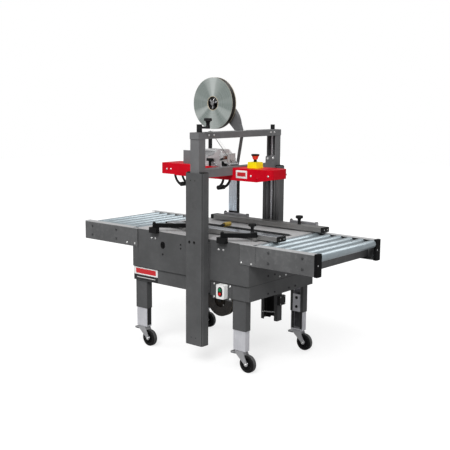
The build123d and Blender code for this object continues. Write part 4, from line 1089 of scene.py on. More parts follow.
class Rule(NodeSheet):
    """A Geometry Nodes tree with named inputs, which turns a seed mesh into a repeated form."""

    def __init__(self, name: str, sizes: dict[str, float | int]) -> None:
        """Makes the tree and its inputs.

        Args:
            name: The tree's name.
            sizes: The named inputs and their usual values; whole numbers are counts.
        """
        super().__init__(bpy.data.node_groups.new(name, "GeometryNodeTree"))
        face = self.tree.interface
        face.new_socket("Geometry", in_out="INPUT", socket_type="NodeSocketGeometry")
        face.new_socket("Geometry", in_out="OUTPUT", socket_type="NodeSocketGeometry")
        for key, usual in sizes.items():
            kind = "NodeSocketInt" if isinstance(usual, int) else "NodeSocketFloat"
            face.new_socket(key, in_out="INPUT", socket_type=kind).default_value = usual
        face.new_socket("Finish", in_out="INPUT", socket_type="NodeSocketMaterial")
        self.given = self.node("NodeGroupInput").outputs
        self.sizes = sizes

    def end(self, shape: Given) -> None:
        """Ends the tree in Realize Instances and Set Material.

        Args:
            shape: The instances or mesh that the tree has made.
        """
        real = self.node("GeometryNodeRealizeInstances", {}, {0: shape})
        painted = self.node(
            "GeometryNodeSetMaterial", {}, {"Geometry": real, "Material": self.given["Finish"]}
        )
        self.node("NodeGroupOutput", {}, {0: painted})

    def cone(self, sides: int, bottom: Given, top: Given, depth: Given) -> bpy.types.NodeSocket:
        """Makes a cone, or a cylinder where both its radii are alike.

        Args:
            sides: The number of facets round it.
            bottom: Its radius at the origin.
            top: Its radius at the other end.
            depth: Its height.

        Returns:
            Its mesh.
        """
        sizes = {"Vertices": sides, "Radius Bottom": bottom, "Radius Top": top, "Depth": depth}
        return self.node("GeometryNodeMeshCone", {}, sizes).outputs["Mesh"]

    def aligned(self, axis: str, towards: Given) -> bpy.types.Node:
        """Returns the turn that lays one axis along a direction."""
        settings = {"axis": axis}
        return self.node("FunctionNodeAlignRotationToVector", settings, {"Vector": towards})

    def joined(self, *parts: Given) -> bpy.types.Node:
        """Joins shapes into one."""
        made = self.node("GeometryNodeJoinGeometry")
        for part in parts:
            self.feed(made.inputs[0], part)
        return made

    def instances(self, points: Given, thing: Given, turn: Given, size: Given = WHITE) -> Given:
        """Puts a thing on each point.

        Args:
            points: Where they stand.
            thing: What stands there.
            turn: How each is turned.
            size: How each is scaled.

        Returns:
            The node that carries the instances.
        """
        given = {"Points": points, "Instance": thing, "Rotation": turn, "Scale": size}
        return self.node("GeometryNodeInstanceOnPoints", {}, given)

    def placed(self, points: Given, thing: Given, spin: bool) -> bpy.types.Node:
        """Puts a thing on each seed point, standing along the point's facing.

        Args:
            points: The seed mesh.
            thing: What stands on each point, along its own Z axis.
            spin: True if each is turned about its own axis by a seeded random angle.

        Returns:
            The node that carries the instances.
        """
        facing, size = (
            self.node("GeometryNodeInputNamedAttribute", {"data_type": kind}, {"Name": name})
            for kind, name in (("FLOAT_VECTOR", "facing"), ("FLOAT", "size"))
        )
        turn = self.aligned("Z", facing.outputs["Attribute"])
        made = self.instances(points, thing, turn, size.outputs["Attribute"])
        if not spin:
            return made
        chance = self.node(
            "FunctionNodeRandomValue",
            {"data_type": "FLOAT"},
            {2: 0.0, 3: TURN, "Seed": self.given["Seed"]},
        )
        about = self.node("ShaderNodeCombineXYZ", {}, {"Z": chance.outputs[1]})
        return self.node("GeometryNodeRotateInstances", {}, {"Instances": made, "Rotation": about})

    def grow(
        self, name: str, body: str, seed: bpy.types.Mesh, finish: Finish, **sizes: float | int
    ) -> bpy.types.Object:
        """Runs the tree on a seed mesh and keeps the result as a plain mesh.

        Args:
            name: The piece's name.
            body: The CAD body that it moves with.
            seed: The points or path that the form follows.
            finish: The finish of the whole form.
            **sizes: Inputs that differ from their usual values, with _ for a space.

        Returns:
            The finished piece.
        """
        piece = linked(name, seed)
        modifier = piece.modifiers.new("Rule", "NODES")
        modifier.node_group = self.tree
        wanted = {key.replace("_", " "): amount for key, amount in sizes.items()}
        for item in self.tree.interface.items_tree:
            if item.item_type != "SOCKET" or item.in_out != "INPUT":
                continue
            if item.name == "Finish":
                modifier[item.identifier] = finish.material()
            elif item.name in self.sizes:
                modifier[item.identifier] = wanted.get(item.name, self.sizes[item.name])
        depsgraph = bpy.context.evaluated_depsgraph_get()
        made = bpy.data.meshes.new_from_object(piece.evaluated_get(depsgraph))
        piece.modifiers.clear()
        piece.data = made
        made.name = name
        smooth(made)
        settle(piece, body)
        return piece


@dataclass(frozen=True)
class Spot:
    """A place on a surface where a small part sits."""

    at: Point
    facing: Point
    size: float = 1.0


def spots_mesh(name: str, spots: Sequence[Spot]) -> bpy.types.Mesh:
    """Makes a seed mesh of points with their facing and size.

    Args:
        name: The mesh's name.
        spots: The points.

    Returns:
        The mesh.
    """
    mesh = bpy.data.meshes.new(name)
    mesh.from_pydata([s.at for s in spots], [], [])
    facing = mesh.attributes.new("facing", "FLOAT_VECTOR", "POINT")
    facing.data.foreach_set("vector", [c for s in spots for c in s.facing])
    size = mesh.attributes.new("size", "FLOAT", "POINT")
    size.data.foreach_set("value", [s.size for s in spots])
    return mesh


def loop_mesh(name: str, points: Sequence[Point]) -> bpy.types.Mesh:
    """Makes a seed mesh of one closed line through points."""
    mesh = bpy.data.meshes.new(name)
    last = len(points) - 1
    edges = [(k, k + 1) for k in range(last)]
    mesh.from_pydata(points, [*edges, (last, 0)], [])
    return mesh


class ScrewRule(Rule):
    """Button-headed screws with a socket, each on its washer."""

    sides = 18
    skirt_share = 0.55
    crown_share = 0.68

    def __init__(self) -> None:
        """Builds the tree: a washer, a domed head and the socket cut into it."""
        super().__init__(
            "Screws",
            {
                "Head Radius": 0.005,
                "Head Height": 0.0032,
                "Washer Radius": 0.0062,
                "Washer Height": 0.0008,
                "Socket Radius": 0.0022,
                "Socket Corners": 6,
                "Seed": 4,
            },
        )
        given = self.given
        radius, height = given["Head Radius"], Value(self, given["Head Height"])
        washer = self.cone(
            self.sides, given["Washer Radius"], given["Washer Radius"], given["Washer Height"]
        )
        skirt_height = height * self.skirt_share
        skirt = self.cone(self.sides, radius, radius, skirt_height)
        crown = Value(self, radius) * self.crown_share
        dome = self.cone(self.sides, radius, crown, height * (1.0 - self.skirt_share))
        socket = self.node(
            "GeometryNodeMeshCylinder",
            {},
            {
                "Vertices": given["Socket Corners"],
                "Radius": given["Socket Radius"],
                "Depth": given["Head Height"],
            },
        )
        cut = self.node("GeometryNodeMeshBoolean", {"operation": "DIFFERENCE", "solver": "EXACT"})
        self.feed(cut.inputs[0], self._raised(dome, skirt_height))
        self.feed(cut.inputs[1], self._raised(socket.outputs["Mesh"], given["Head Height"]))
        head = self._raised(self.joined(skirt, cut.outputs["Mesh"]), given["Washer Height"])
        self.end(self.placed(given["Geometry"], self.joined(washer, head), True))

    def _raised(self, shape: Given, height: Given) -> bpy.types.Node:
        """Returns a shape moved up its own axis."""
        lift = self.node("ShaderNodeCombineXYZ", {}, {"Z": height})
        return self.node("GeometryNodeTransform", {}, {"Geometry": shape, "Translation": lift})


class RibRule(Rule):
    """Ribs across a belt, at an even pitch along its loop."""

    def __init__(self) -> None:
        """Builds the tree: the loop as a curve, its points and a slim bar on each."""
        super().__init__(
            "Belt ribs",
            {"Pitch": 0.006, "Width": 0.05, "Length": 0.0028, "Height": 0.0007, "Seed": 0},
        )
        given = self.given
        curve = self.node("GeometryNodeMeshToCurve", {}, {"Mesh": given["Geometry"]})
        points = self.node(
            "GeometryNodeCurveToPoints",
            {"mode": "LENGTH"},
            {"Curve": curve, "Length": given["Pitch"]},
        )
        side = self.node("ShaderNodeCombineXYZ", {}, {"Y": 1.0})
        along = self.aligned("X", points.outputs["Tangent"])
        flat = self.node(
            "FunctionNodeAlignRotationToVector",
            {"axis": "Y", "pivot_axis": "X"},
            {"Rotation": along, "Vector": side},
        )
        sizes = {"X": given["Length"], "Y": given["Width"], "Z": given["Height"]}
        size = self.node("ShaderNodeCombineXYZ", {}, sizes)
        bar = self.node("GeometryNodeMeshCube", {}, {"Size": size})
        self.end(self.instances(points.outputs["Points"], bar.outputs["Mesh"], flat))


class CoilRule(Rule):
    """A wound wire: a spring, or the thread on a lead screw."""

    def __init__(self) -> None:
        """Builds the tree: a spiral swept by a small round or three-sided section."""
        super().__init__(
            "Coil",
            {
                "Radius": 0.006,
                "Height": 0.05,
                "Turns": 10.0,
                "Wire Radius": 0.0008,
                "Steps": 12,
                "Sides": 6,
                "Seed": 0,
            },
        )
        given = self.given
        spiral = self.node(
            "GeometryNodeCurveSpiral",
            {},
            {
                "Resolution": given["Steps"],
                "Rotations": given["Turns"],
                "Start Radius": given["Radius"],
                "End Radius": given["Radius"],
                "Height": given["Height"],
            },
        )
        section = self.node(
            "GeometryNodeCurvePrimitiveCircle",
            {},
            {"Resolution": given["Sides"], "Radius": given["Wire Radius"]},
        )
        wire = self.node(
            "GeometryNodeCurveToMesh",
            {},
            {"Curve": spiral, "Profile Curve": section.outputs["Curve"], "Fill Caps": True},
        )
        self.end(self.placed(given["Geometry"], wire, False))


class SpokeRule(Rule):
    """Tapered spokes round a hub, standing out from its middle."""

    sides = 8

    def __init__(self) -> None:
        """Builds the tree: a ring of points and a tapered bar on each, pointing outwards."""
        super().__init__(
            "Spokes",
            {
                "Count": 6,
                "Inner Radius": 0.012,
                "Length": 0.022,
                "Root Radius": 0.004,
                "Tip Radius": 0.003,
                "Seed": 0,
            },
        )
        given = self.given
        sizes = {"Vertices": given["Count"], "Radius": given["Inner Radius"]}
        ring = self.node("GeometryNodeMeshCircle", {}, sizes)
        turn = self.aligned("Z", self.node("GeometryNodeInputPosition"))
        bar = self.cone(self.sides, given["Root Radius"], given["Tip Radius"], given["Length"])
        star = self.instances(ring, bar, turn)
        solid = self.node("GeometryNodeRealizeInstances", {}, {0: star})
        self.end(self.placed(given["Geometry"], solid, False))


@dataclass(frozen=True)
class Palette:
    """Every finish of the machine."""

    paint: Finish = PaintedSteel("Charcoal paint")
    body_paint: Finish = PaintedSteel(
        "Body paint",
        colour=(0.09, 0.091, 0.093),
        seams_and_painted_shade=(
            Region((-0.48, -0.34, 0.5122), (0.47, 0.34, 0.5142)),
            Region((-0.4255, -0.34, 0.6), (-0.4235, 0.34, 0.757)),
        ),
    )
    # Painted light: a copy of the charcoal paint about twice as light, so the lift frame and cross
    # arm look more brightly lit.
    lit_lift_paint: Finish = PaintedSteel("Lift paint with painted light", colour=(0.16, 0.161, 0.165), worn=grey(0.34))
    column_paint: Finish = PaintedSteel(
        "Column paint",
        colour=(0.094, 0.095, 0.097),
        # Near-black dots: painted shade round the two service holes, and smaller dots for sunk screw
        # heads.
        seams_and_painted_shade=tuple(
            Dot((x, side * 0.4, z), radius)
            for side in SIDES
            for x, z, radius in (
                (0.0793, 0.7385, 0.0092), (0.116, 0.7385, 0.0092), (0.088, 1.098, 0.0034),
                (0.121, 1.098, 0.0034), (0.0945, 0.17, 0.0034), (0.1275, 0.17, 0.0034),
            )
        ) + (
            # Painted shade: the inside of each column's channel, darkened nearly to black.
            Region((0.0468, 0.3436, 0.1), (0.1752, 0.3972, 1.1415)),
            Region((0.0468, -0.3972, 0.1), (0.1752, -0.3436, 1.1415)),
        ),
    )
    channel_paint: Finish = PaintedSteel(
        "Channel paint",
        colour=(0.112, 0.113, 0.115),
        # Wide pale worn edges and a pale strip along the top: wear that also paints a highlight along
        # the channels' top edge.
        worn=(0.55, 0.555, 0.56),
        wear=0.9,
        softness=0.0034,
        rubbed_and_highlit=(Region((-0.93, -0.34, 0.7535), (0.93, 0.34, 0.7585)),),
        seams_and_painted_shade=(
            Region((-0.4262, -0.34, 0.63), (-0.4235, 0.34, 0.76)),
            Region((0.5078, -0.34, 0.63), (0.5102, 0.34, 0.76)),
            Region((0.3955, -0.34, 0.63), (0.3975, 0.34, 0.76)),
        ),
    )
    bolt_paint: Finish = PaintedSteel(
        "Bolt paint", colour=(0.06, 0.061, 0.063), worn=grey(0.2), gloss=0.38, wear=0.7
    )
    red: Finish = PaintedSteel(
        "Signal red paint", colour=(0.6, 0.003, 0.014), worn=(0.75, 0.06, 0.07), gloss=0.3,
        wear=0.6, softness=0.004, shine=0.07,
    )
    bed_steel: Finish = PlatedSteel(
        "Bed steel", colour=(0.76, 0.75, 0.75), shade=(0.6, 0.6, 0.61), gloss=0.36,
        grain=Grain.ALONG_X, scuffs=0.4, metallic=0.4,
    )
    zinc: Finish = PlatedSteel(
        "Zinc plate", colour=(0.72, 0.72, 0.74), shade=(0.5, 0.5, 0.53), gloss=0.38
    )
    leg_zinc: Finish = PlatedSteel(
        "Leg zinc", colour=(0.84, 0.84, 0.88), shade=(0.6, 0.6, 0.64), gloss=0.4,
        grain=Grain.ALONG_Z, metallic=0.45,
        # Painted shade: the inside of each inner leg's channel, just below the outer leg, darkened
        # nearly to black.
        shaded=tuple(
            Region((x, y, 0.1335), (x + 0.0816, y + 0.039, 0.2455))
            for x in (-0.4323, 0.3427)
            for y in (-0.3036, 0.2646)
        ),
    )
    roller_zinc: Finish = PlatedSteel(
        "Roller zinc", colour=(0.5, 0.575, 0.615), shade=(0.36, 0.425, 0.46), gloss=0.31,
        grain=Grain.ALONG_Y, scuffs=0.2, metallic=0.6,
    )
    bright: Finish = PlatedSteel(
        "Bright steel", colour=(0.82, 0.82, 0.83), shade=(0.6, 0.6, 0.62), gloss=0.22,
        grain=Grain.ALONG_Z,
    )
    screw_zinc: Finish = PlatedSteel(
        "Screw zinc", colour=(0.86, 0.86, 0.85), shade=grey(0.7), gloss=0.28, metallic=0.6
    )
    black_oxide: Finish = PlatedSteel(
        "Black oxide", colour=(0.045, 0.045, 0.047), shade=(0.02, 0.02, 0.022), gloss=0.4,
        metallic=0.6, scuffs=0.1,
    )
    black: Finish = MouldedPlastic("Black plastic")
    satin_black: Finish = MouldedPlastic(
        "Satin black", colour=(0.006, 0.006, 0.0065), gloss=0.34, grain_depth=0.00002, shine=0.14
    )
    yellow: Finish = MouldedPlastic(
        "Yellow plastic", colour=(1.0, 0.93, 0.0), gloss=0.36, dust=0.02, shine=0.4
    )
    stop_red: Finish = MouldedPlastic(
        "Stop button red", colour=(0.86, 0.045, 0.035), gloss=0.28, dust=0.02, shine=0.6
    )
    halt_red: Finish = MouldedPlastic(
        "Halt button red", colour=(0.68, 0.02, 0.02), gloss=0.3, dust=0.03
    )
    start_green: Finish = MouldedPlastic(
        "Start button green", colour=(0.01, 0.26, 0.1), gloss=0.3, dust=0.03
    )
    core_cream: Finish = MouldedPlastic(
        "Card core", colour=(0.62, 0.55, 0.42), gloss=0.75, dust=0.2
    )
    belt: Finish = Rubber("Belt rubber", colour=(0.014, 0.014, 0.015), bloom=grey(0.06))
    tread: Finish = Rubber(
        "Tread rubber", colour=(0.075, 0.075, 0.077), bloom=(0.15, 0.15, 0.148), gloss=0.66
    )
    tyre_side: Finish = Rubber("Tyre wall rubber", colour=grey(0.008), bloom=grey(0.03))
    roll_tread: Finish = Rubber(
        "Outer wrap", colour=(0.02, 0.018, 0.016), bloom=(0.07, 0.06, 0.05), gloss=0.35, weave=60.0
    )
    card: Finish = MouldedPlastic("Roll edge card", colour=(0.55, 0.48, 0.36), gloss=0.7, dust=0.15)
    brown_card: Finish = MouldedPlastic(
        "Brown card", colour=(0.04, 0.029, 0.023), gloss=0.6, dust=0.05
    )
    brown_core: Finish = MouldedPlastic(
        "Brown core", colour=(0.02, 0.014, 0.011), gloss=0.7, dust=0.05
    )
    switch_case: Finish = PatchedMetal(
        "Switch case",
        ground=(0.93, 0.93, 0.92),
        patches=(
            Patch(Region((0.15, -0.3225, 0.4), (0.36, -0.3, 0.52)), CHARCOAL, 0.0, 0.45),
            Patch(Region((0.2, -0.36, 0.4), (0.34, -0.3552, 0.52)), grey(0.01), 0.0, 0.4),
        ),
        shine=0.5,
    )
    end_cap: Finish = PatchedMetal(
        "End cap plastic",
        ground=(0.0075, 0.0075, 0.008),
        patches=tuple(
            Patch(Dot((0.921, y, 0.7), 0.0048), SCREW_STEEL, 0.8, 0.3) for y in (-0.3205, 0.2985)
        ),
        rub=grey(0.05),
        shine=0.05,
    )
    pivots: Finish = PatchedMetal(
        "Pivot block",
        ground=(0.0085, 0.0085, 0.009),
        patches=(Patch(Region((-0.4, 0.2, 0.7), (0.4, 0.4, 0.9)), grey(0.42), 0.6, 0.36),),
        rub=grey(0.08),
    )
    brown_nylon: Finish = MouldedPlastic(
        "Brown nylon", colour=(0.2, 0.075, 0.045), gloss=0.4, dust=0.1, shine=0.4
    )
    white_gate: Finish = MouldedPlastic(
        "White gate", colour=grey(0.82), gloss=0.34, dust=0.04, shine=0.5
    )
    film: Finish = TapeFilm("Tape film")
    upper_roll: Finish = WoundTape("Upper wound tape", centre=(-0.076, 1.534))
    lower_roll: Finish = WoundTape(
        "Lower wound tape", centre=(-0.009, 0.305), colour=(0.034, 0.024, 0.019),
        # The lower roll's painted sheen is a paler brown and weaker.
        light=(0.085, 0.06, 0.045), dark=(0.018, 0.013, 0.011), wedges=0.5,
    )
    front_label: PlainLabel = PlainLabel(
        "Front label", low=(-0.4695, -0.3186, 0.4275), high=(-0.26, -0.318, 0.5085),
        strip_share=0.42, margin=0.16,
    )
    head_label: PlainLabel = PlainLabel(
        "Head label", low=(0.17, -0.0888, 1.0965), high=(0.254, -0.088, 1.1435), margin=0.24
    )
    rear_fittings: Finish = PatchedMetal(
        "Rear fittings",
        ground=(0.02, 0.02, 0.021),
        patches=(
            Patch(
                Region((-0.27, 0.32, 0.815), (-0.1918, 0.4, 1.08)), (0.82, 0.88, 0.96), 0.55, 0.26
            ),
            Patch(Region((-0.27, 0.32, 1.06), (-0.18, 0.4, 1.08)), (0.3, 0.3, 0.31), 0.8, 0.3),
            Patch(Region((0.03, 0.32, 0.16), (0.19, 0.345, 0.21)), grey(0.8), 0.9, 0.25),
        ),
    )
    lower_unit: Finish = PatchedMetal(
        "Lower unit metal",
        ground=(0.3, 0.31, 0.33),
        ground_metal=0.8,
        ground_gloss=0.36,
        patches=(
            Patch(Region((-0.1, -0.03, 0.2), (0.12, 0.031, 0.6)), (0.05, 0.05, 0.052), 0.3, 0.45),
        ),
        grain=Grain.ALONG_X,
    )
    upper_unit: Finish = PatchedMetal(
        "Upper unit metal",
        ground=(0.72, 0.66, 0.67),
        ground_metal=0.4,
        ground_gloss=0.3,
        patches=(
            Patch(
                Region((-0.125, -0.013, 1.255), (-0.095, 0.013, 1.37)), (0.03, 0.03, 0.032), 0.4,
                0.35,
            ),
            Patch(Region((-0.09, -0.1, 1.15), (-0.02, -0.045, 1.21)), grey(0.006), 0.0, 0.5),
            Patch(Region((-0.15, -0.036, 1.2), (0.03, 0.036, 1.242)), (0.36, 0.25, 0.14), 0.1, 0.5),
            Patch(Region((0.012, -0.05, 1.15), (0.08, 0.05, 1.256)), (0.95, 0.94, 0.94), 0.0, 0.3),
            # Painted highlight: a near-white strip along the top of the tower's plates.
            Patch(Region((-0.15, -0.045, 1.2385), (-0.02, 0.045, 1.256)), grey(0.9), 0.5, 0.25),
        ),
        shine=0.25,
        rub=(0.2, 0.19, 0.19),
        grain=Grain.ALONG_X,
    )
    arm_metal: Finish = PatchedMetal(
        "Roller arm metal",
        ground=(0.04, 0.04, 0.042),
        ground_metal=0.3,
        ground_gloss=0.4,
        patches=(
            Patch(Region((-0.36, -0.03, 1.0), (0.05, 0.03, 1.04)), grey(0.03), 0.0, 0.6),
            Patch(Region((0.01, -0.03, 0.77), (0.05, 0.03, 0.81)), (0.7, 0.5, 0.12), 0.7, 0.35),
        ),
        grain=Grain.ALONG_Z,
    )
    crank: Finish = PatchedMetal(
        "Crank metal",
        ground=(0.5, 0.5, 0.52),
        ground_metal=0.85,
        ground_gloss=0.32,
        patches=(
            Patch(Region((0.0, -0.4, 1.371), (0.2, -0.3, 1.393)), (0.02, 0.02, 0.021), 0.2, 0.42),
            Patch(Region((0.0, -0.4, 1.393), (0.25, -0.3, 1.5)), (0.022, 0.022, 0.023), 0.1, 0.42),
            Patch(Region((0.0, 0.3, 1.371), (0.2, 0.4, 1.41)), (0.02, 0.02, 0.021), 0.1, 0.42),
        ),
    )
    bracket: Finish = PatchedMetal(
        "Bracket paint",
        ground=(0.14, 0.141, 0.144),
        patches=(
            Patch(Region((-0.12, -0.03, 1.5), (-0.03, 0.0235, 1.57)), (0.5, 0.5, 0.51), 0.85, 0.3),
            Patch(Region((0.0, 0.049, 1.14), (0.12, 0.055, 1.3335)), grey(0.22), 0.5, 0.36),
        ),
    )
    rails: Finish = PatchedMetal(
        "Guide rail finish",
        ground=(0.25, 0.247, 0.243),
        ground_metal=0.45,
        ground_gloss=0.32,
        patches=(
            # Painted highlight: a pale metallic strip along the top of the front rail.
            Patch(
                Region((-0.31, -0.5, 0.7942), (0.558, 0.1, 0.7966)), (0.56, 0.59, 0.63), 0.7, 0.22
            ),
            Patch(Region((0.557, -0.5, 0.7), (0.6, 0.5, 0.797)), grey(0.008), 0.0, 0.45),
            Patch(Region((-0.34, -0.5, 0.7), (-0.295, 0.5, 0.797)), grey(0.008), 0.0, 0.45),
            Patch(Region((0.3, -0.5, 0.7965), (0.45, 0.5, 0.87)), grey(0.012), 0.0, 0.42),
            *(
                Patch(Dot((x, y, 0.781), 0.0034), SCREW_STEEL, 0.7, 0.3)
                for x, y in ((0.5712, -0.178), (0.5712, -0.144), (0.572, 0.269), (0.572, 0.303))
            ),
        ),
        rub=(0.62, 0.61, 0.6),
        grain=Grain.ALONG_X,
    )
    fork: Finish = PatchedMetal(
        "Caster fork zinc",
        ground=(0.7, 0.7, 0.72),
        ground_metal=0.85,
        ground_gloss=0.34,
        patches=tuple(
            Patch(Region((low, -0.4, 0.08), (high, 0.4, 0.1065)), (0.07, 0.075, 0.085), 0.2, 0.45)
            for low, high in ((-0.49, -0.437), (0.3, 0.36))
        ),
    )
    floor: Finish = StudioFloor("Studio floor")


@dataclass
class Workshop:
    """What each sub-assembly works with: the nodes, the finishes and the repeating rules."""

    nodes: dict[str, bpy.types.Object]
    palette: Palette
    screws: ScrewRule
    ribs: RibRule
    coils: CoilRule
    spokes: SpokeRule

    def refinish(self, finish: Finish, *names: str) -> None:
        """Gives CAD nodes a finish.

        Args:
            finish: The finish.
            *names: The nodes' names.
        """
        for name in names:
            for slot in self.nodes[name].material_slots:
                slot.material = finish.material()
            LOG.info("%s is finished with %s", name, finish.name)

    def fasten(
        self, name: str, body: str, spots: Sequence[Spot], finish: Finish, **sizes: float | int
    ) -> bpy.types.Object:
        """Puts screws on a body.

        Args:
            name: The piece's name.
            body: The CAD body.
            spots: Where the screws are.
            finish: Their finish.
            **sizes: Inputs of the screw rule that differ from their usual values.

        Returns:
            The screws as one piece.
        """
        return self.screws.grow(name, body, spots_mesh(name, spots), finish, **sizes)


def both_sides(spots: Iterable[tuple[float, float, float]], facing: float = -1.0) -> list[Spot]:
    """Returns spots on a front face and on the same places of the rear one.

    Args:
        spots: X, distance from the middle and Z of each.
        facing: -1 where the front one faces the operator, 1 where it faces inwards.

    Returns:
        The spots of both faces.
    """
    front = [Spot((x, -y, z), (0.0, facing, 0.0)) for x, y, z in spots]
    rear = [Spot((x, y, z), (0.0, -facing, 0.0)) for x, y, z in spots]
    return front + rear


@dataclass(frozen=True)
class Extent:
    """The box of a CAD node: its middle, and half its size along each axis."""

    middle: Point
    half: Point


def extent(node: str) -> Extent:
    """Returns the box of a CAD node."""
    low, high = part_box(node)
    middle = tuple((start + end) / 2.0 for start, end in zip(low, high))
    half = tuple((end - start) / 2.0 for start, end in zip(low, high))
    return Extent(middle, half)


def mirrored(profile: Profile) -> list[tuple[float, float]]:
    """Returns a profile's mirror image across its own middle plane, from its end to its start."""
    return [(radius, -height) for radius, height in reversed(profile)]


def across(middle: Point, reach: float) -> list[Spot]:
    """Returns the two spots on either side of a point, across the machine, that face outwards."""
    x, y, z = middle
    return [Spot((x, y + side * reach, z), (0.0, side, 0.0)) for side in SIDES]


@dataclass
class SubAssembly:
    """A part of the machine, which is built from the workshop's nodes, finishes and rules."""

    shop: Workshop

    @property
    def finishes(self) -> Palette:
        """Returns the machine's finishes."""
        return self.shop.palette

    def collar(self, name: str, body: str, profile: Profile, place: Point) -> None:
        """Turns the flared collar under a hand knob.

        Args:
            name: The piece's name.
            body: The CAD body that it moves with.
            profile: Radius and height of each corner, from the bottom up.
            place: The middle of its foot.
        """
        piece = Workpiece(name, body)
        piece.turned(profile, pointed(place, UP), self.finishes.black, 32)
        piece.finish_off()

    def lay_label(
        self, name: str, body: str, label: PlainLabel, face: float, depth: float, soft: float
    ) -> None:
        """Lays a label without words on a face that looks towards the operator.

        Args:
            name: The piece's name.
            body: The CAD body that it moves with.
            label: Its finish, which says where it is.
            face: How far the face is from the machine's middle.
            depth: How thick it is.
            soft: The width of its eased edge.
        """
        low, high = label.low, label.high
        outline = rounded_outline(high[0] - low[0], high[2] - low[2], 0.003)
        middle = ((low[0] + high[0]) / 2.0, -face, (low[2] + high[2]) / 2.0)
        piece = Workpiece(name, body)
        piece.plate(outline, depth, framed(middle, TO_EXIT, UP), label, soft)
        piece.finish_off()


@dataclass
class Body(SubAssembly):
    """The painted body with its bed, belts and the front label."""

    panel_face: float = 0.326
    skirt_face: float = 0.318
    end_face: float = 0.463
    start_face: float = -0.471
    hole_place: tuple[float, float] = (-0.208, 0.675)
    hole_size: tuple[float, float] = (0.03, 0.038)
    label_depth: float = 0.0005
    belt_y: float = 0.085
    turn_steps: int = 20

    def build(self) -> None:
        """Builds and dresses the body."""
        self._refinish()
        self._screws()
        self._bezels()
        self._label()
        self._belts()

    def _refinish(self) -> None:
        """Gives the body's solids their finishes."""
        self.shop.refinish(self.finishes.body_paint, "body_panels")
        self.shop.refinish(self.finishes.bed_steel, "bed_plate")
        self.shop.refinish(self.finishes.belt, "drive_belts")
        self.shop.refinish(self.finishes.zinc, "belt_pulleys")
        self.shop.refinish(self.finishes.pivots, "guide_pivot_blocks")

    def _screws(self) -> None:
        """Puts the screws on the side and end panels."""
        places = ((-0.304, 0.709), (-0.272, 0.709), (0.241, 0.705), (0.275, 0.705))
        ends = ((self.end_face, TO_EXIT), (self.start_face, TO_INFEED))
        bright = both_sides([(x, self.panel_face, z) for x, z in places])
        bright += [Spot((x, y, 0.53), way) for x, way in ends for y in (-0.031, 0.032)]
        self.shop.fasten("body_bright_screws", "base", bright, self.finishes.screw_zinc)
        dark = both_sides([(-0.059, self.panel_face, 0.695), (-0.059, self.panel_face, 0.672)])
        dark += both_sides([(-0.209, self.panel_face, 0.618)])
        places = (
            (-0.144, 0.55), (-0.079, 0.55), (-0.142, 0.445), (-0.077, 0.445), (0.065, 0.445),
            (0.13, 0.445),
        )
        dark += [Spot((x, y, z), way) for x, way in ends for y, z in places]
        oxide = self.finishes.black_oxide
        self.shop.fasten("body_dark_screws", "base", dark, oxide, Head_Radius=0.0042)

    def _bezels(self) -> None:
        """Rims the oval service holes of both side panels."""
        rims = Workpiece("service_hole_bezels", "base")
        x, z = self.hole_place
        width, height = self.hole_size
        outer = stadium(width + 0.006, height + 0.006)
        inner = stadium(width - 0.003, height - 0.003)
        levels = ((inner, -0.002), (inner, 0.0014), (outer, 0.0014), (outer, 0.0), (outer, -0.002))
        for side in SIDES:
            frame = framed((x, side * self.panel_face, z), (-side, 0.0, 0.0), UP)
            rims.rim(levels, frame, self.finishes.satin_black)
        rims.finish_off()

    def _label(self) -> None:
        """Lays the plain label on the front skirt."""
        label = self.finishes.front_label
        self.lay_label("front_label", "base", label, self.skirt_face, self.label_depth, 0.0001)

    def _belts(self) -> None:
        """Lays fine ribs round both drive belts."""
        low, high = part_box("drive_belts")
        radius = (high[2] - low[2]) / 2.0
        middle = (high[2] + low[2]) / 2.0
        loop = [
            (x + way * radius * math.sin(angle), middle + way * radius * math.cos(angle))
            for x, way in ((high[0] - radius, 1.0), (low[0] + radius, -1.0))
            for angle in (TURN / 2.0 * k / self.turn_steps for k in range(self.turn_steps + 1))
        ]
        loop = [loop[-1], *loop[:-1]]
        for name, side in (("front_belt_ribs", -1.0), ("rear_belt_ribs", 1.0)):
            path = loop_mesh(name, [(x, side * self.belt_y, z) for x, z in loop])
            self.shop.ribs.grow(name, "base", path, self.finishes.belt, Width=0.048, Pitch=0.008)


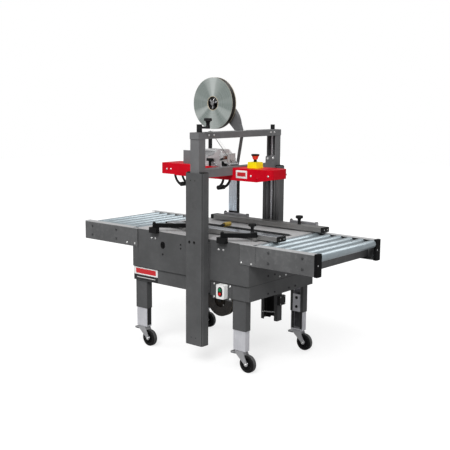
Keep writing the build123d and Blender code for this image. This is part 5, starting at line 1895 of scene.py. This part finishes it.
@dataclass
class Conveyor(SubAssembly):
    """One roller conveyor: painted channels, six rollers and their screws."""

    side: str
    dark_screws: tuple[tuple[float, float], ...]
    bright_screws: tuple[tuple[float, float], ...]
    web_face: float = 0.329

    def build(self) -> None:
        """Builds and dresses the conveyor."""
        self.shop.refinish(self.finishes.channel_paint, f"{self.side}_conveyor_frame")
        for number in range(1, 7):
            self._roller(number)
        bolt, bright = self.finishes.bolt_paint, self.finishes.screw_zinc
        for kind, places, finish, radius, washer in (
            ("dark", self.dark_screws, bolt, 0.0078, 0.0084),
            ("bright", self.bright_screws, bright, 0.0052, 0.0062),
        ):
            spots = both_sides([(x, self.web_face, z) for x, z in places])
            self.shop.fasten(
                f"{self.side}_{kind}_screws", "base", spots, finish, Head_Radius=radius,
                Washer_Radius=washer,
            )

    def _roller(self, number: int) -> None:
        """Builds one roller: a tube with rolled-in ends round its pressed bearings.

        Args:
            number: The roller's number, from 1.
        """
        node = f"{self.side}_roller_{number}"
        low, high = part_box(node)
        box = extent(node)
        r, length = box.half[2], high[1] - low[1]
        roller = Workpiece(f"{node}_tube", node)
        lip = [
            (r - 0.0045, 0.0014),
            (r - 0.0036, 0.0003),
            (r - 0.0018, 0.0),
            (r - 0.0005, 0.0006),
            (r, 0.0022),
        ]
        tube = lip + [(radius, length - height) for radius, height in reversed(lip)]
        frame = pointed((box.middle[0], low[1], box.middle[2]), TO_REAR)
        roller.turned(tube, frame, self.finishes.roller_zinc, 48, True)
        for start, way in ((low[1], 1.0), (high[1], -1.0)):
            bearing = [
                (0.0062, 0.0012),
                (0.0078, 0.0008),
                (0.011, 0.0008),
                (0.0115, 0.0022),
                (0.0165, 0.0022),
                (0.017, 0.0012),
                (r - 0.0046, 0.0012),
                (r - 0.0046, 0.008),
                (0.0062, 0.008),
            ]
            seat = pointed((box.middle[0], start, box.middle[2]), (0.0, way, 0.0))
            roller.turned(bearing, seat, self.finishes.black, 32, True)
        roller.finish_off((node,))


@dataclass
class Legs(SubAssembly):
    """Four telescoping legs, with the bolts of their clamps and casters."""

    leg_x: tuple[float, float] = (-0.4135, 0.3835)
    clamp_face: float = 0.261
    bolt_levels: tuple[float, float] = (0.334, 0.276)
    slot_level: float = 0.232

    def build(self) -> None:
        """Builds and dresses the legs."""
        self.shop.refinish(self.finishes.paint, "outer_legs")
        self.shop.refinish(self.finishes.leg_zinc, "inner_legs")
        places = [(x, self.clamp_face, z) for x in self.leg_x for z in self.bolt_levels]
        self.shop.fasten(
            "leg_clamp_bolts", "base", both_sides(places, 1.0), self.finishes.black_oxide,
            Head_Radius=0.0075, Head_Height=0.005, Washer_Radius=0.0095, Washer_Height=0.0014,
            Socket_Radius=0.0038,
        )
        self._slots()

    def _slots(self) -> None:
        """Marks the height slots in the inner legs."""
        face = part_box("inner_legs")[1][1] - 0.0004
        outline = rounded_outline(0.03, 0.008, 0.0038)
        marks = Workpiece("leg_height_slots", "base")
        for x in self.leg_x:
            for side in SIDES:
                frame = framed((x, side * face, self.slot_level), (-side, 0.0, 0.0), UP)
                marks.plate(outline, 0.00035, frame, self.finishes.satin_black, 0.0001)
        marks.finish_off()


@dataclass
class Casters(SubAssembly):
    """Four braked swivel casters: pressed forks and rubber-tyred wheels."""

    tyre_wall: float = 0.016
    tyre_half: float = 0.016
    disc_half: float = 0.006
    nut_gap: float = 0.0002
    hub_radius: float = 0.012

    def build(self) -> None:
        """Builds and dresses the casters."""
        for end in ("infeed", "exit"):
            for side in ("front", "rear"):
                stem = f"{end}_{side}_caster"
                self.shop.refinish(self.finishes.fork, f"{stem}_fork")
                self._wheel(stem)
                self._axle_nuts(stem)

    def _wheel(self, stem: str) -> None:
        """Builds one wheel: tyre, dished disc, ribs and bush.

        Args:
            stem: The caster's name without its part.
        """
        node = f"{stem}_wheel"
        box = extent(node)
        middle, r = box.middle, box.half[2]
        half = min(box.half[1], self.tyre_half)
        frame = pointed(middle, TO_REAR)
        wheel = Workpiece(f"{stem}_wheel_round", node)
        rim = r - self.tyre_wall
        wall = [
            (rim, -half + 0.001),
            (rim + 0.003, -half),
            (r - 0.006, -half),
            (r - 0.0022, -half + 0.0025),
            (r - 0.001, -half + 0.006),
        ]
        wheel.turned(wall + mirrored(wall), frame, self.finishes.tyre_side, 56, True)
        shoulder = [
            (r - 0.004, -half + 0.0035), (r - 0.0007, -half + 0.0048), (r - 0.0001, -half + 0.008),
        ]
        tread = [*shoulder, (r, 0.0), *mirrored(shoulder)]
        wheel.turned(tread, frame, self.finishes.tread, 56, True)
        dish = [
            (self.hub_radius, -half + 0.001),
            (self.hub_radius + 0.003, -half + 0.001),
            (self.hub_radius + 0.005, -self.disc_half),
            (rim - 0.004, -self.disc_half),
            (rim - 0.001, -half + 0.003),
            (rim + 0.0004, -half + 0.003),
        ]
        wheel.turned(dish + mirrored(dish), frame, self.finishes.black, 48, True)
        bush = [(0.0052, -box.half[1]), (0.0095, -box.half[1]), (0.0118, -half + 0.0008)]
        wheel.turned(bush + mirrored(bush), frame, self.finishes.zinc, 28, True)
        wheel.finish_off((node,))
        seeds = across(middle, 0.0075)
        self.shop.spokes.grow(
            f"{stem}_wheel_ribs", node, spots_mesh(node, seeds), self.finishes.black,
            Count=10, Inner_Radius=0.013, Length=rim - 0.0145, Root_Radius=0.0016,
            Tip_Radius=0.0022,
        )

    def _axle_nuts(self, stem: str) -> None:
        """Puts a domed nut on each end of the wheel's axle."""
        x, _, z = extent(f"{stem}_wheel").middle
        low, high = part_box(f"{stem}_fork")
        faces = ((low[1] - self.nut_gap, TO_FRONT), (high[1] + self.nut_gap, TO_REAR))
        spots = [Spot((x, y, z), way) for y, way in faces]
        self.shop.fasten(
            f"{stem}_axle_nuts", f"{stem}_fork", spots, self.finishes.screw_zinc,
            Head_Radius=0.0068, Head_Height=0.0035, Washer_Radius=0.008, Socket_Radius=0.0034,
        )


@dataclass
class Columns(SubAssembly):
    """The two outer columns, with the fittings at the rear foot."""

    face: float = 0.4
    hole_x: tuple[float, float] = (0.079, 0.116)
    hole_level: float = 0.739
    hole_radius: float = 0.0058

    def build(self) -> None:
        """Builds and dresses the columns."""
        self.shop.refinish(self.finishes.column_paint, "outer_columns")
        self.shop.refinish(self.finishes.satin_black, "lift_guides")
        self.shop.refinish(self.finishes.rear_fittings, "rear_fittings")
        self._hole_plugs()
        corners = [Spot((0.2, y, z), TO_EXIT) for y in (0.346, 0.392) for z in (0.243, 0.289)]
        self.shop.fasten(
            "foot_box_screws", "base", corners, self.finishes.screw_zinc, Head_Radius=0.0038,
            Head_Height=0.002, Washer_Radius=0.0044, Washer_Height=0.0004, Socket_Radius=0.0016,
        )

    def _hole_plugs(self) -> None:
        """Closes the two service holes of each column with a dished black plug."""
        plugs = Workpiece("column_hole_plugs", "base")
        r = self.hole_radius
        dish = [(0.0, -0.006), (r - 0.0008, -0.006), (r, -0.005), (r, -0.0006), (r - 0.0008, 0.0),
                (r * 0.72, -0.0004), (r * 0.6, -0.0022), (0.0, -0.0026)]
        for x in self.hole_x:
            for side in SIDES:
                frame = pointed((x, side * (self.face - 0.0006), self.hole_level), (0.0, side, 0.0))
                plugs.turned(dish, frame, self.finishes.satin_black, 28)
        plugs.finish_off()


@dataclass
class Lift(SubAssembly):
    """The lifting frame with its crossbar, lead screws and crank."""

    bar_level: float = 1.3555
    screw_y: float = 0.35
    thread_radius: float = 0.0086

    def build(self) -> None:
        """Builds and dresses the lift."""
        # The lift frame and cross arm take the lighter copy of the paint, which paints light onto
        # them.
        self.shop.refinish(self.finishes.lit_lift_paint, "lift_frame", "head_cross_arm")
        self.shop.refinish(self.finishes.crank, "crank_screw", "rear_screw")
        spots = [
            Spot((x, y, self.bar_level), way)
            for x, way, places in (
                (0.145, TO_EXIT, (-0.305, -0.262, 0.286, 0.323)),
                (0.077, TO_INFEED, (-0.323, -0.286, 0.262, 0.305)),
            )
            for y in places
        ]
        screw = self.finishes.screw_zinc
        self.shop.fasten("crossbar_screws", "lift", spots, screw, Head_Radius=0.0058)
        plate = [Spot((0.148, y, 1.193), TO_EXIT) for y in (0.252, 0.308)]
        self.shop.fasten(
            "upright_plate_bolts", "lift", plate, screw, Head_Radius=0.0065, Head_Height=0.0042,
            Washer_Radius=0.0085,
        )
        profile = [
            (0.0, 0.0), (0.0112, 0.0), (0.0125, 0.0014), (0.0104, 0.005), (0.0108, 0.02),
            (0.0135, 0.027), (0.018, 0.0316), (0.0, 0.0316),
        ]
        self.collar("crank_knob_collar", "crank", profile, (0.176, -self.screw_y, 1.4065))
        for body, side in (("crank", -1.0), ("rear_lead_screw", 1.0)):
            seed = spots_mesh(body, [Spot((0.111, side * self.screw_y, 0.36), UP)])
            self.shop.coils.grow(
                f"{body}_thread", body, seed, self.finishes.zinc, Radius=self.thread_radius,
                Height=0.96, Turns=240.0, Wire_Radius=0.0009, Sides=4, Steps=14,
            )


@dataclass
class Head(SubAssembly):
    """The red head with its deck, label, stop button and upright plates."""

    face: float = 0.088
    button_flare: float = 1.14

    def build(self) -> None:
        """Builds and dresses the head."""
        self.shop.refinish(self.finishes.red, "head_covers")
        self.shop.refinish(self.finishes.zinc, "head_frame")
        self.shop.refinish(self.finishes.yellow, "stop_base")
        bright = ((-0.4, 1.116), (-0.364, 1.118), (0.283, 1.1145), (0.409, 1.1205))
        red = ((0.329, 1.1035), (-0.22, 1.1))
        for name, places, finish, radius in (
            ("cover_bright_screws", bright, self.finishes.screw_zinc, 0.0052),
            ("cover_red_screws", red, self.finishes.red, 0.0046),
        ):
            spots = both_sides([(x, self.face, z) for x, z in places])
            self.shop.fasten(name, "lift", spots, finish, Head_Radius=radius)
        self._label()
        self._stop_button()

    def _label(self) -> None:
        """Puts the plain plate on the exit cover."""
        label = self.finishes.head_label
        self.lay_label("head_label", "lift", label, self.face, 0.0008, 0.0002)

    def _stop_button(self) -> None:
        """Turns the stop button: a flared cone, its rim and a dished top."""
        box = extent("stop_button")
        x, y, level = box.middle
        r = box.half[0] * self.button_flare
        top = 2.0 * box.half[2]
        button = Workpiece("stop_button_cap", "stop_button")
        frame = pointed((x, y, level - box.half[2]), UP)
        head = [
            (0.0, top - 0.031),
            (r * 0.54, top - 0.031),
            (r * 0.6, top - 0.0295),
            (r * 0.68, top - 0.02),
            (r * 0.84, top - 0.0115),
            (r * 0.93, top - 0.0095),
        ]
        button.turned(head, frame, self.finishes.stop_red, 48)
        foot = top - 0.03
        stem = [(0.0, 0.0), (0.0095, 0.0), (0.0098, 0.0005), (0.0098, foot), (0.0, foot)]
        button.turned(stem, frame, self.finishes.satin_black, 32)
        rim = [
            (r * 0.86, top - 0.0102),
            (r * 0.97, top - 0.0088),
            (r, top - 0.0055),
            (r * 0.96, top - 0.0012),
            (r * 0.88, top),
            (r * 0.74, top - 0.0014),
            (r * 0.7, top - 0.006),
        ]
        button.turned(rim, frame, self.finishes.satin_black, 48, True)
        dish = [
            (0.0, top - 0.009),
            (r * 0.72, top - 0.009),
            (r * 0.72, top - 0.0042),
            (r * 0.45, top - 0.003),
            (0.0, top - 0.0022),
        ]
        button.turned(dish, frame, self.finishes.stop_red, 48)
        button.finish_off(("stop_button",))


@dataclass
class TapingUnits(SubAssembly):
    """The upper and lower taping units, with their springs and the threaded tape."""

    def build(self) -> None:
        """Builds and dresses the taping units."""
        self.shop.refinish(self.finishes.upper_unit, "upper_taping_unit")
        self.shop.refinish(self.finishes.lower_unit, "lower_taping_unit")
        arms = ("infeed_roller_arm", "exit_roller_arm", "lower_roller_arm")
        self.shop.refinish(self.finishes.arm_metal, *arms)
        self._springs()
        self._rod_screws()
        self._tower_front()
        self._tape_gate()
        self._web()

    def _springs(self) -> None:
        """Hangs the blade's spring between its two posts, outside the tower's plate."""
        upper = [Spot((-0.02, -0.0485, 1.164), (-0.92, 0.0, 0.38))]
        self.shop.coils.grow(
            "upper_unit_spring", "lift", spots_mesh("upper_spring", upper), self.finishes.bright,
            Radius=0.0036, Height=0.06, Turns=24.0, Wire_Radius=0.0007, Steps=14,
        )
        hooks = Workpiece("upper_spring_posts", "lift")
        for x, z in ((-0.018, 1.163), (-0.077, 1.1875)):
            hooks.rod((x, -0.0438, z), (x, -0.0526, z), 0.0024, self.finishes.bright, 16)
        hooks.finish_off()

    def _rod_screws(self) -> None:
        """Puts the screws of the cross rods on the side plates of both units."""
        tower = ((-0.124, 1.167), (0.044, 1.167), (-0.134, 1.238), (0.0085, 1.2197))
        lower = ((-0.16, 0.725), (0.19, 0.725), (-0.062, 0.695))
        for name, body, face, places in (
            ("tower_rod_screws", "lift", 0.0441, tower),
            ("lower_rod_screws", "base", 0.0451, lower),
        ):
            spots = [spot for x, z in places for spot in across((x, 0.0, z), face)]
            self.shop.fasten(name, body, spots, self.finishes.screw_zinc, Head_Radius=0.0048)

    def _tower_front(self) -> None:
        """Fits the guide plate, the black latch and the tension roller before the tower."""
        y = -0.0442
        bright, dark = self.finishes.bright, self.finishes.satin_black
        front = Workpiece("tower_front_fittings", "lift")
        face = framed((0.0, y, 0.0), TO_EXIT, UP)
        guide = [
            (-0.128, 1.2), (-0.092, 1.2), (-0.084, 1.214), (-0.046, 1.222), (-0.034, 1.236),
            (-0.034, 1.2475), (-0.128, 1.2475),
        ]
        front.plate(guide, 0.0022, face, bright, 0.0006)
        front.block((-0.128, -0.0575, 1.2455), (-0.052, y, 1.2478), bright, 0.0006)
        latch = [
            (0.026, 1.1565), (0.064, 1.1565), (0.0675, 1.166), (0.061, 1.1735), (0.044, 1.1735),
            (0.035, 1.1875), (0.024, 1.1855),
        ]
        front.plate(latch, 0.006, face, dark, 0.001)
        arm = [(0.001, 1.1965), (0.009, 1.1885), (0.064, 1.2045), (0.066, 1.2125), (0.06, 1.2175)]
        front.plate(arm, 0.0035, face, self.finishes.black_oxide, 0.0006)
        x, z = 0.058, 1.2095
        front.rod((x, y, z), (x, -0.066, z), 0.0098, self.finishes.brown_nylon, 28)
        front.rod((x, -0.065, z), (x, -0.0685, z), 0.004, bright, 16)
        x, z = 0.008, 1.1955
        front.rod((x, y, z), (x, -0.0515, z), 0.0046, bright, 20)
        front.finish_off()

    def _tape_gate(self) -> None:
        """Fits the last guide roller on its two brackets, with the white gate behind it."""
        gate = Workpiece("tape_gate", "lift")
        bracket = [
            (0.055, 1.1555), (0.083, 1.1515), (0.087, 1.156), (0.085, 1.1745), (0.078, 1.181),
            (0.055, 1.185),
        ]
        plates = (-0.0398, 0.0366)
        for y in plates:
            face = framed((0.0, y + 0.0032, 0.0), TO_EXIT, UP)
            gate.plate(bracket, 0.003, face, self.finishes.bright, 0.0005)
        x, z = 0.074, 1.168
        gate.rod((x, -0.0364, z), (x, 0.0364, z), 0.0088, self.finishes.bright, 28)
        for y in plates:
            gate.rod((x, y - 0.0016, z), (x, y + 0.0048, z), 0.0042, self.finishes.screw_zinc, 20)
        white = self.finishes.white_gate
        gate.block((0.0612, -0.036, 1.1512), (0.0638, 0.036, 1.2325), white, 0.0008)
        for y in (-0.012, 0.0095):
            gate.block((0.0638, y, 1.1835), (0.0705, y + 0.0025, 1.2285), white, 0.0006)
        gate.finish_off()

    def _web(self) -> None:
        """Threads the tape from the top of the post down to the last guide roller."""
        (x, z), (end_x, end_z) = (-0.0985, 1.3665), (0.0795, 1.1785)
        path = [(x + (end_x - x) * k / 8.0, 0.0, z + (end_z - z) * k / 8.0) for k in range(9)]
        web = Workpiece("upper_tape_web", "lift")
        web.ribbon(path, Vector(TO_REAR), 0.036, 0.0006, self.finishes.film)
        web.finish_off(())


@dataclass
class Reel(SubAssembly):
    """The upper tape roll on its spoked drum, its bracket, and the lower roll."""

    core_radius: float = 0.0442
    lower_centre: tuple[float, float] = (-0.009, 0.305)
    layers: int = 26

    def build(self) -> None:
        """Builds and dresses the reels."""
        self.shop.refinish(self.finishes.bracket, "drum_bracket")
        wound, core = self.finishes.upper_roll, self.finishes.core_cream
        self._roll("tape_roll", "drum", wound, core, "clear_tape")
        wound, core = self.finishes.lower_roll, self.finishes.brown_core
        self._roll("lower_tape_roll", "lower_tape_roll", wound, core, "brown_tape")
        self._lower_covers()
        self._drum()
        self._bracket_screws()

    def _lower_covers(self) -> None:
        """Closes the lower roll's core with a dished disc on each side of its web."""
        covers = Workpiece("lower_core_covers", "lower_tape_roll")
        x, z = self.lower_centre
        dish = [
            (0.0138, 0.0), (0.022, -0.0012), (0.032, -0.0008), (0.0372, 0.0012), (0.0372, 0.0024),
            (0.032, 0.0006), (0.022, 0.0004), (0.0138, 0.0016),
        ]
        for side in SIDES:
            frame = pointed((x, side * 0.0158, z), (0.0, side, 0.0))
            covers.turned(dish, frame, self.finishes.brown_card, 64, True)
        covers.finish_off()

    def _roll(self, node: str, body: str, finish: Finish, core_finish: Finish, slot: str) -> None:
        """Builds one roll: its wound film with a few proud layers, and its card core.

        Args:
            node: The CAD node that it stands for.
            body: The body that it turns with.
            finish: The wound film's finish.
            core_finish: The core's finish.
            slot: Not used.
        """
        box = extent(node)
        radius, half = box.half[2], box.half[1]
        core = self.core_radius
        wound: list[tuple[float, float]] = []
        for k in range(self.layers + 1):
            r = core + (radius - 0.0006 - core) * k / self.layers
            proud = 0.0004 * math.sin(k * 2.7) * math.sin(k * 0.9)
            wound.append((r, half - 0.0007 + proud * 0.8))
        frame = pointed(box.middle, TO_FRONT)
        roll = Workpiece(f"{node}_wound", body)
        roll.turned(mirrored(wound) + wound, frame, finish, 96, True)
        wrap = [
            (radius - 0.002, -half + 0.006),
            (radius - 0.0001, -half + 0.006),
            (radius - 0.0001, half - 0.0022),
            (radius - 0.002, half - 0.0016),
        ]
        roll.turned(wrap, frame, self.finishes.roll_tread, 96, True)
        inside = radius - 0.0016
        for start, end in ((-half + 0.0014, -half + 0.0062), (half - 0.0024, half - 0.0014)):
            edge = [(inside, start), (radius, start), (radius, end), (inside, end)]
            roll.turned(edge, frame, self.finishes.card, 96, True)
        lip = [(core - 0.0032, -half), (core - 0.0006, -half), (core + 0.0001, -half + 0.001)]
        roll.turned(lip + mirrored(lip), frame, core_finish, 64, True)
        roll.finish_off((node,))

    def _drum(self) -> None:
        """Builds the spoked drum with its spring leaves inside the core."""
        box = extent("tape_drum")
        half, reach = box.half[1], box.half[2]
        frame = pointed(box.middle, TO_FRONT)
        drum = Workpiece("tape_drum_spider", "drum")
        boss = [(0.0085, -half), (0.0122, -half), (0.0128, -half + 0.001)]
        drum.turned(boss + mirrored(boss), frame, self.finishes.black, 40, True)
        shell = [(reach - 0.0022, -half + 0.002), (reach, -half + 0.002)]
        drum.turned(shell + mirrored(shell), frame, self.finishes.black, 56, True)
        outline = rounded_outline(0.02, 0.009, 0.002)
        for k in range(3):
            a = TURN * (k / 3.0 + 0.06)
            out = Vector((math.cos(a), 0.0, math.sin(a)))
            along = Vector((-math.sin(a), 0.0, math.cos(a)))
            spot = Vector(box.middle) + out * 0.023
            leaf = framed(spot + Vector((0.0, half - 0.004, 0.0)), out, along)
            drum.plate(outline, half * 2.0 - 0.008, leaf, self.finishes.bright, 0.0004)
        drum.finish_off(("tape_drum",))
        seeds = across(box.middle, half - 0.0055)
        self.shop.spokes.grow(
            "tape_drum_spokes", "drum", spots_mesh("drum_spokes", seeds), self.finishes.black,
            Count=6, Inner_Radius=0.0118, Length=reach - 0.0135, Root_Radius=0.0036,
            Tip_Radius=0.0026,
        )

    def _bracket_screws(self) -> None:
        """Puts the screws at the bracket's foot."""
        spots = [Spot((x, 0.04, 1.3718), UP) for x in (0.124, 0.136)]
        screw = self.finishes.screw_zinc
        self.shop.fasten("bracket_foot_screws", "lift", spots, screw, Head_Radius=0.004)


@dataclass
class Guides(SubAssembly):
    """The two side guides: rails, arms, knobs and pivot screws."""

    top: float = 0.796

    def build(self) -> None:
        """Builds and dresses the guides."""
        self.shop.refinish(self.finishes.rails, "front_guide_rail", "rear_guide_rail")
        for side, finish in (("front", self.finishes.satin_black), ("rear", self.finishes.zinc)):
            self.shop.refinish(finish, f"{side}_guide_arm_infeed", f"{side}_guide_arm_exit")
        for side, x, y in (("front", 0.3552, -0.1611), ("rear", 0.375, 0.286)):
            low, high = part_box(f"{side}_guide_rail")
            ends = ((high[0] - 0.0012, TO_EXIT), (low[0] + 0.0012, TO_INFEED))
            spots = [Spot((end, y, 0.781), way) for end, way in ends]
            self.shop.fasten(
                f"{side}_rail_plug_screws", f"{side}_guide_rail", spots, self.finishes.screw_zinc,
                Head_Radius=0.0042, Head_Height=0.0009, Washer_Radius=0.0046, Washer_Height=0.0002,
                Socket_Radius=0.0016,
            )
            profile = [
                (0.0, 0.0), (0.0105, 0.0), (0.0115, 0.0012), (0.0098, 0.004), (0.0092, 0.022),
                (0.0112, 0.031), (0.0165, 0.0378), (0.0, 0.0378),
            ]
            place = (x, y, self.top + 0.0002)
            self.collar(f"{side}_knob_collar", f"{side}_guide_rail", profile, place)
        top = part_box("guide_pivot_blocks")[1][2]
        pivots = [Spot((x, side * 0.34, top), UP) for x in (-0.267, 0.278) for side in SIDES]
        self.shop.fasten(
            "pivot_screws", "base", pivots, self.finishes.black_oxide, Head_Radius=0.0062,
            Head_Height=0.004, Washer_Radius=0.008,
        )


@dataclass
class SwitchBox(SubAssembly):
    """The switch box with its dark plate, two buttons and screws."""

    face: float = 0.355
    middle: tuple[float, float] = (0.277, 0.464)

    def build(self) -> None:
        """Builds and dresses the switch box."""
        self.shop.refinish(self.finishes.switch_case, "switch_box")
        self.shop.refinish(self.finishes.start_green, "start_button")
        self.shop.refinish(self.finishes.halt_red, "halt_button")
        x, z = self.middle
        outer = stadium(0.0335, 0.0575)
        levels = [
            ([(px * s, py * s) for px, py in outer], height)
            for s, height in ((1.0, 0.0), (1.0, 0.0009), (0.955, 0.0014), (0.9, 0.0014), (0.9, 0.0))
        ]
        frame = framed((x, -self.face - 0.0003, z), TO_EXIT, UP)
        escutcheon = Workpiece("switch_escutcheon", "base")
        escutcheon.rim(levels, frame, self.finishes.satin_black)
        escutcheon.finish_off()
        plate = [Spot((px, -0.321, pz), TO_FRONT) for px in (0.203, 0.324) for pz in (0.422, 0.498)]
        screw = self.finishes.screw_zinc
        self.shop.fasten("switch_plate_screws", "base", plate, screw, Head_Radius=0.0048)
        places = [(px, pz) for px in (0.2525, 0.3015) for pz in (0.4275, 0.5005)]
        lid = [Spot((px, -self.face, pz), TO_FRONT) for px, pz in places]
        self.shop.fasten(
            "switch_lid_screws", "base", lid, self.finishes.zinc, Head_Radius=0.0024,
            Head_Height=0.0009, Washer_Radius=0.0027, Washer_Height=0.0002, Socket_Radius=0.0011,
        )


@dataclass
class EndCaps(SubAssembly):
    """The plastic end caps of the exit conveyor."""

    def build(self) -> None:
        """Finishes the caps, each with its countersunk screw, and the axles."""
        self.shop.refinish(self.finishes.end_cap, "conveyor_end_caps")
        self.shop.refinish(self.finishes.zinc, "roller_axles")


@dataclass
class Studio:
    """The pale floor, the soft lights and the camera at the photograph's angle."""

    finish: Finish
    camera_place: Point = (3.2474, -3.8658, 1.5721)
    azimuth: float = math.radians(39.91)
    pitch: float = math.radians(8.87)
    roll: float = math.radians(0.39)
    lens: float = 65.57
    sensor: float = 36.0
    sky: float = 0.3
    lamp_place: Point = (0.0, 0.0, 4.0)

    def build(self) -> None:
        """Lays the floor, hangs the lights and sets the camera."""
        self._floor()
        self._sky()
        self._sun("Key light", (0.3, -0.68, 0.67), 2.3, 26.0)
        self._sun("Left light", (-0.7, -0.35, 0.6), 0.5, 36.0)
        self._sun("Top light", (0.25, -0.1, 0.96), 0.5, 50.0)
        self._sun("Back light", (0.05, 0.76, 0.64), 0.55, 34.0)
        self._sun("Exit light", (0.9, -0.3, 0.25), 0.24, 40.0)
        self._camera()
        view = bpy.context.scene.view_settings
        view.view_transform = "Standard"
        view.look = "None"

    def _floor(self) -> None:
        """Lays the floor, which isn't part of the object."""
        shape = bmesh.new()
        bmesh.ops.create_grid(shape, x_segments=12, y_segments=12, size=14.0)
        data = bpy.data.meshes.new("studio_floor")
        shape.to_mesh(data)
        shape.free()
        data.materials.append(self.finish.material())
        linked("studio_floor", data)

    def _sky(self) -> None:
        """Sets an even pale sky."""
        world = bpy.data.worlds.new("Studio sky")
        world.use_nodes = True
        world.node_tree.nodes.clear()
        sheet = NodeSheet(world.node_tree)
        soft = sheet.node("ShaderNodeBackground", {}, {"Color": WHITE, "Strength": self.sky})
        plain = sheet.node("ShaderNodeBackground", {}, {"Color": WHITE, "Strength": 1.0})
        seen = sheet.node("ShaderNodeLightPath").outputs["Is Camera Ray"]
        both = sheet.node("ShaderNodeMixShader", {}, {0: seen, 1: soft, 2: plain})
        sheet.node("ShaderNodeOutputWorld", {}, {"Surface": both})
        bpy.context.scene.world = world

    def _sun(self, name: str, towards: Point, strength: float, spread: float) -> None:
        """Hangs one even, soft light.

        Args:
            name: Its name.
            towards: The direction in which it stands.
            strength: Its strength.
            spread: How wide it looks, in degrees, which sets how soft its shadow is.
        """
        lamp = bpy.data.lights.new(name, "SUN")
        lamp.energy = strength
        lamp.angle = math.radians(spread)
        linked(name, lamp).matrix_world = pointed(self.lamp_place, towards)

    def _camera(self) -> None:
        """Sets the camera where the photograph was taken."""
        lens = bpy.data.cameras.new("Photograph camera")
        lens.lens = self.lens
        lens.sensor_width = self.sensor
        lens.clip_start = 0.05
        lens.clip_end = 100.0
        az, p, r = self.azimuth, self.pitch, self.roll
        ahead = Vector((-math.sin(az) * math.cos(p), math.cos(az) * math.cos(p), -math.sin(p)))
        level = Vector((math.cos(az), math.sin(az), 0.0))
        above = level.cross(ahead)
        right = level * math.cos(r) + above * math.sin(r)
        up = right.cross(ahead)
        holder = linked("Photograph camera", lens)
        turn = Matrix((right, up, -ahead)).transposed().to_4x4()
        holder.matrix_world = Matrix.Translation(Vector(self.camera_place)) @ turn
        bpy.context.scene.camera = holder


def main() -> None:
    """Builds the sub-assemblies in order, then the studio."""
    logging.basicConfig(level=logging.INFO, format="%(name)s: %(message)s")
    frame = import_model()
    shop = Workshop(frame["nodes"], Palette(), ScrewRule(), RibRule(), CoilRule(), SpokeRule())
    infeed = Conveyor(
        shop,
        "infeed",
        ((-0.851, 0.67), (-0.851, 0.728), (-0.622, 0.67), (-0.622, 0.728)),
        ((-0.522, 0.657), (-0.451, 0.657)),
    )
    outfeed = Conveyor(
        shop,
        "exit",
        ((0.599, 0.671), (0.599, 0.73), (0.826, 0.671), (0.826, 0.73)),
        ((0.41, 0.651), (0.482, 0.651)),
    )
    for part in (
        Body(shop),
        infeed,
        outfeed,
        EndCaps(shop),
        Legs(shop),
        Casters(shop),
        Columns(shop),
        Lift(shop),
        Head(shop),
        TapingUnits(shop),
        Reel(shop),
        Guides(shop),
        SwitchBox(shop),
    ):
        part.build()
        LOG.info("%s is built", type(part).__name__)
    Studio(shop.palette.floor).build()


if __name__ == "__main__":
    main()
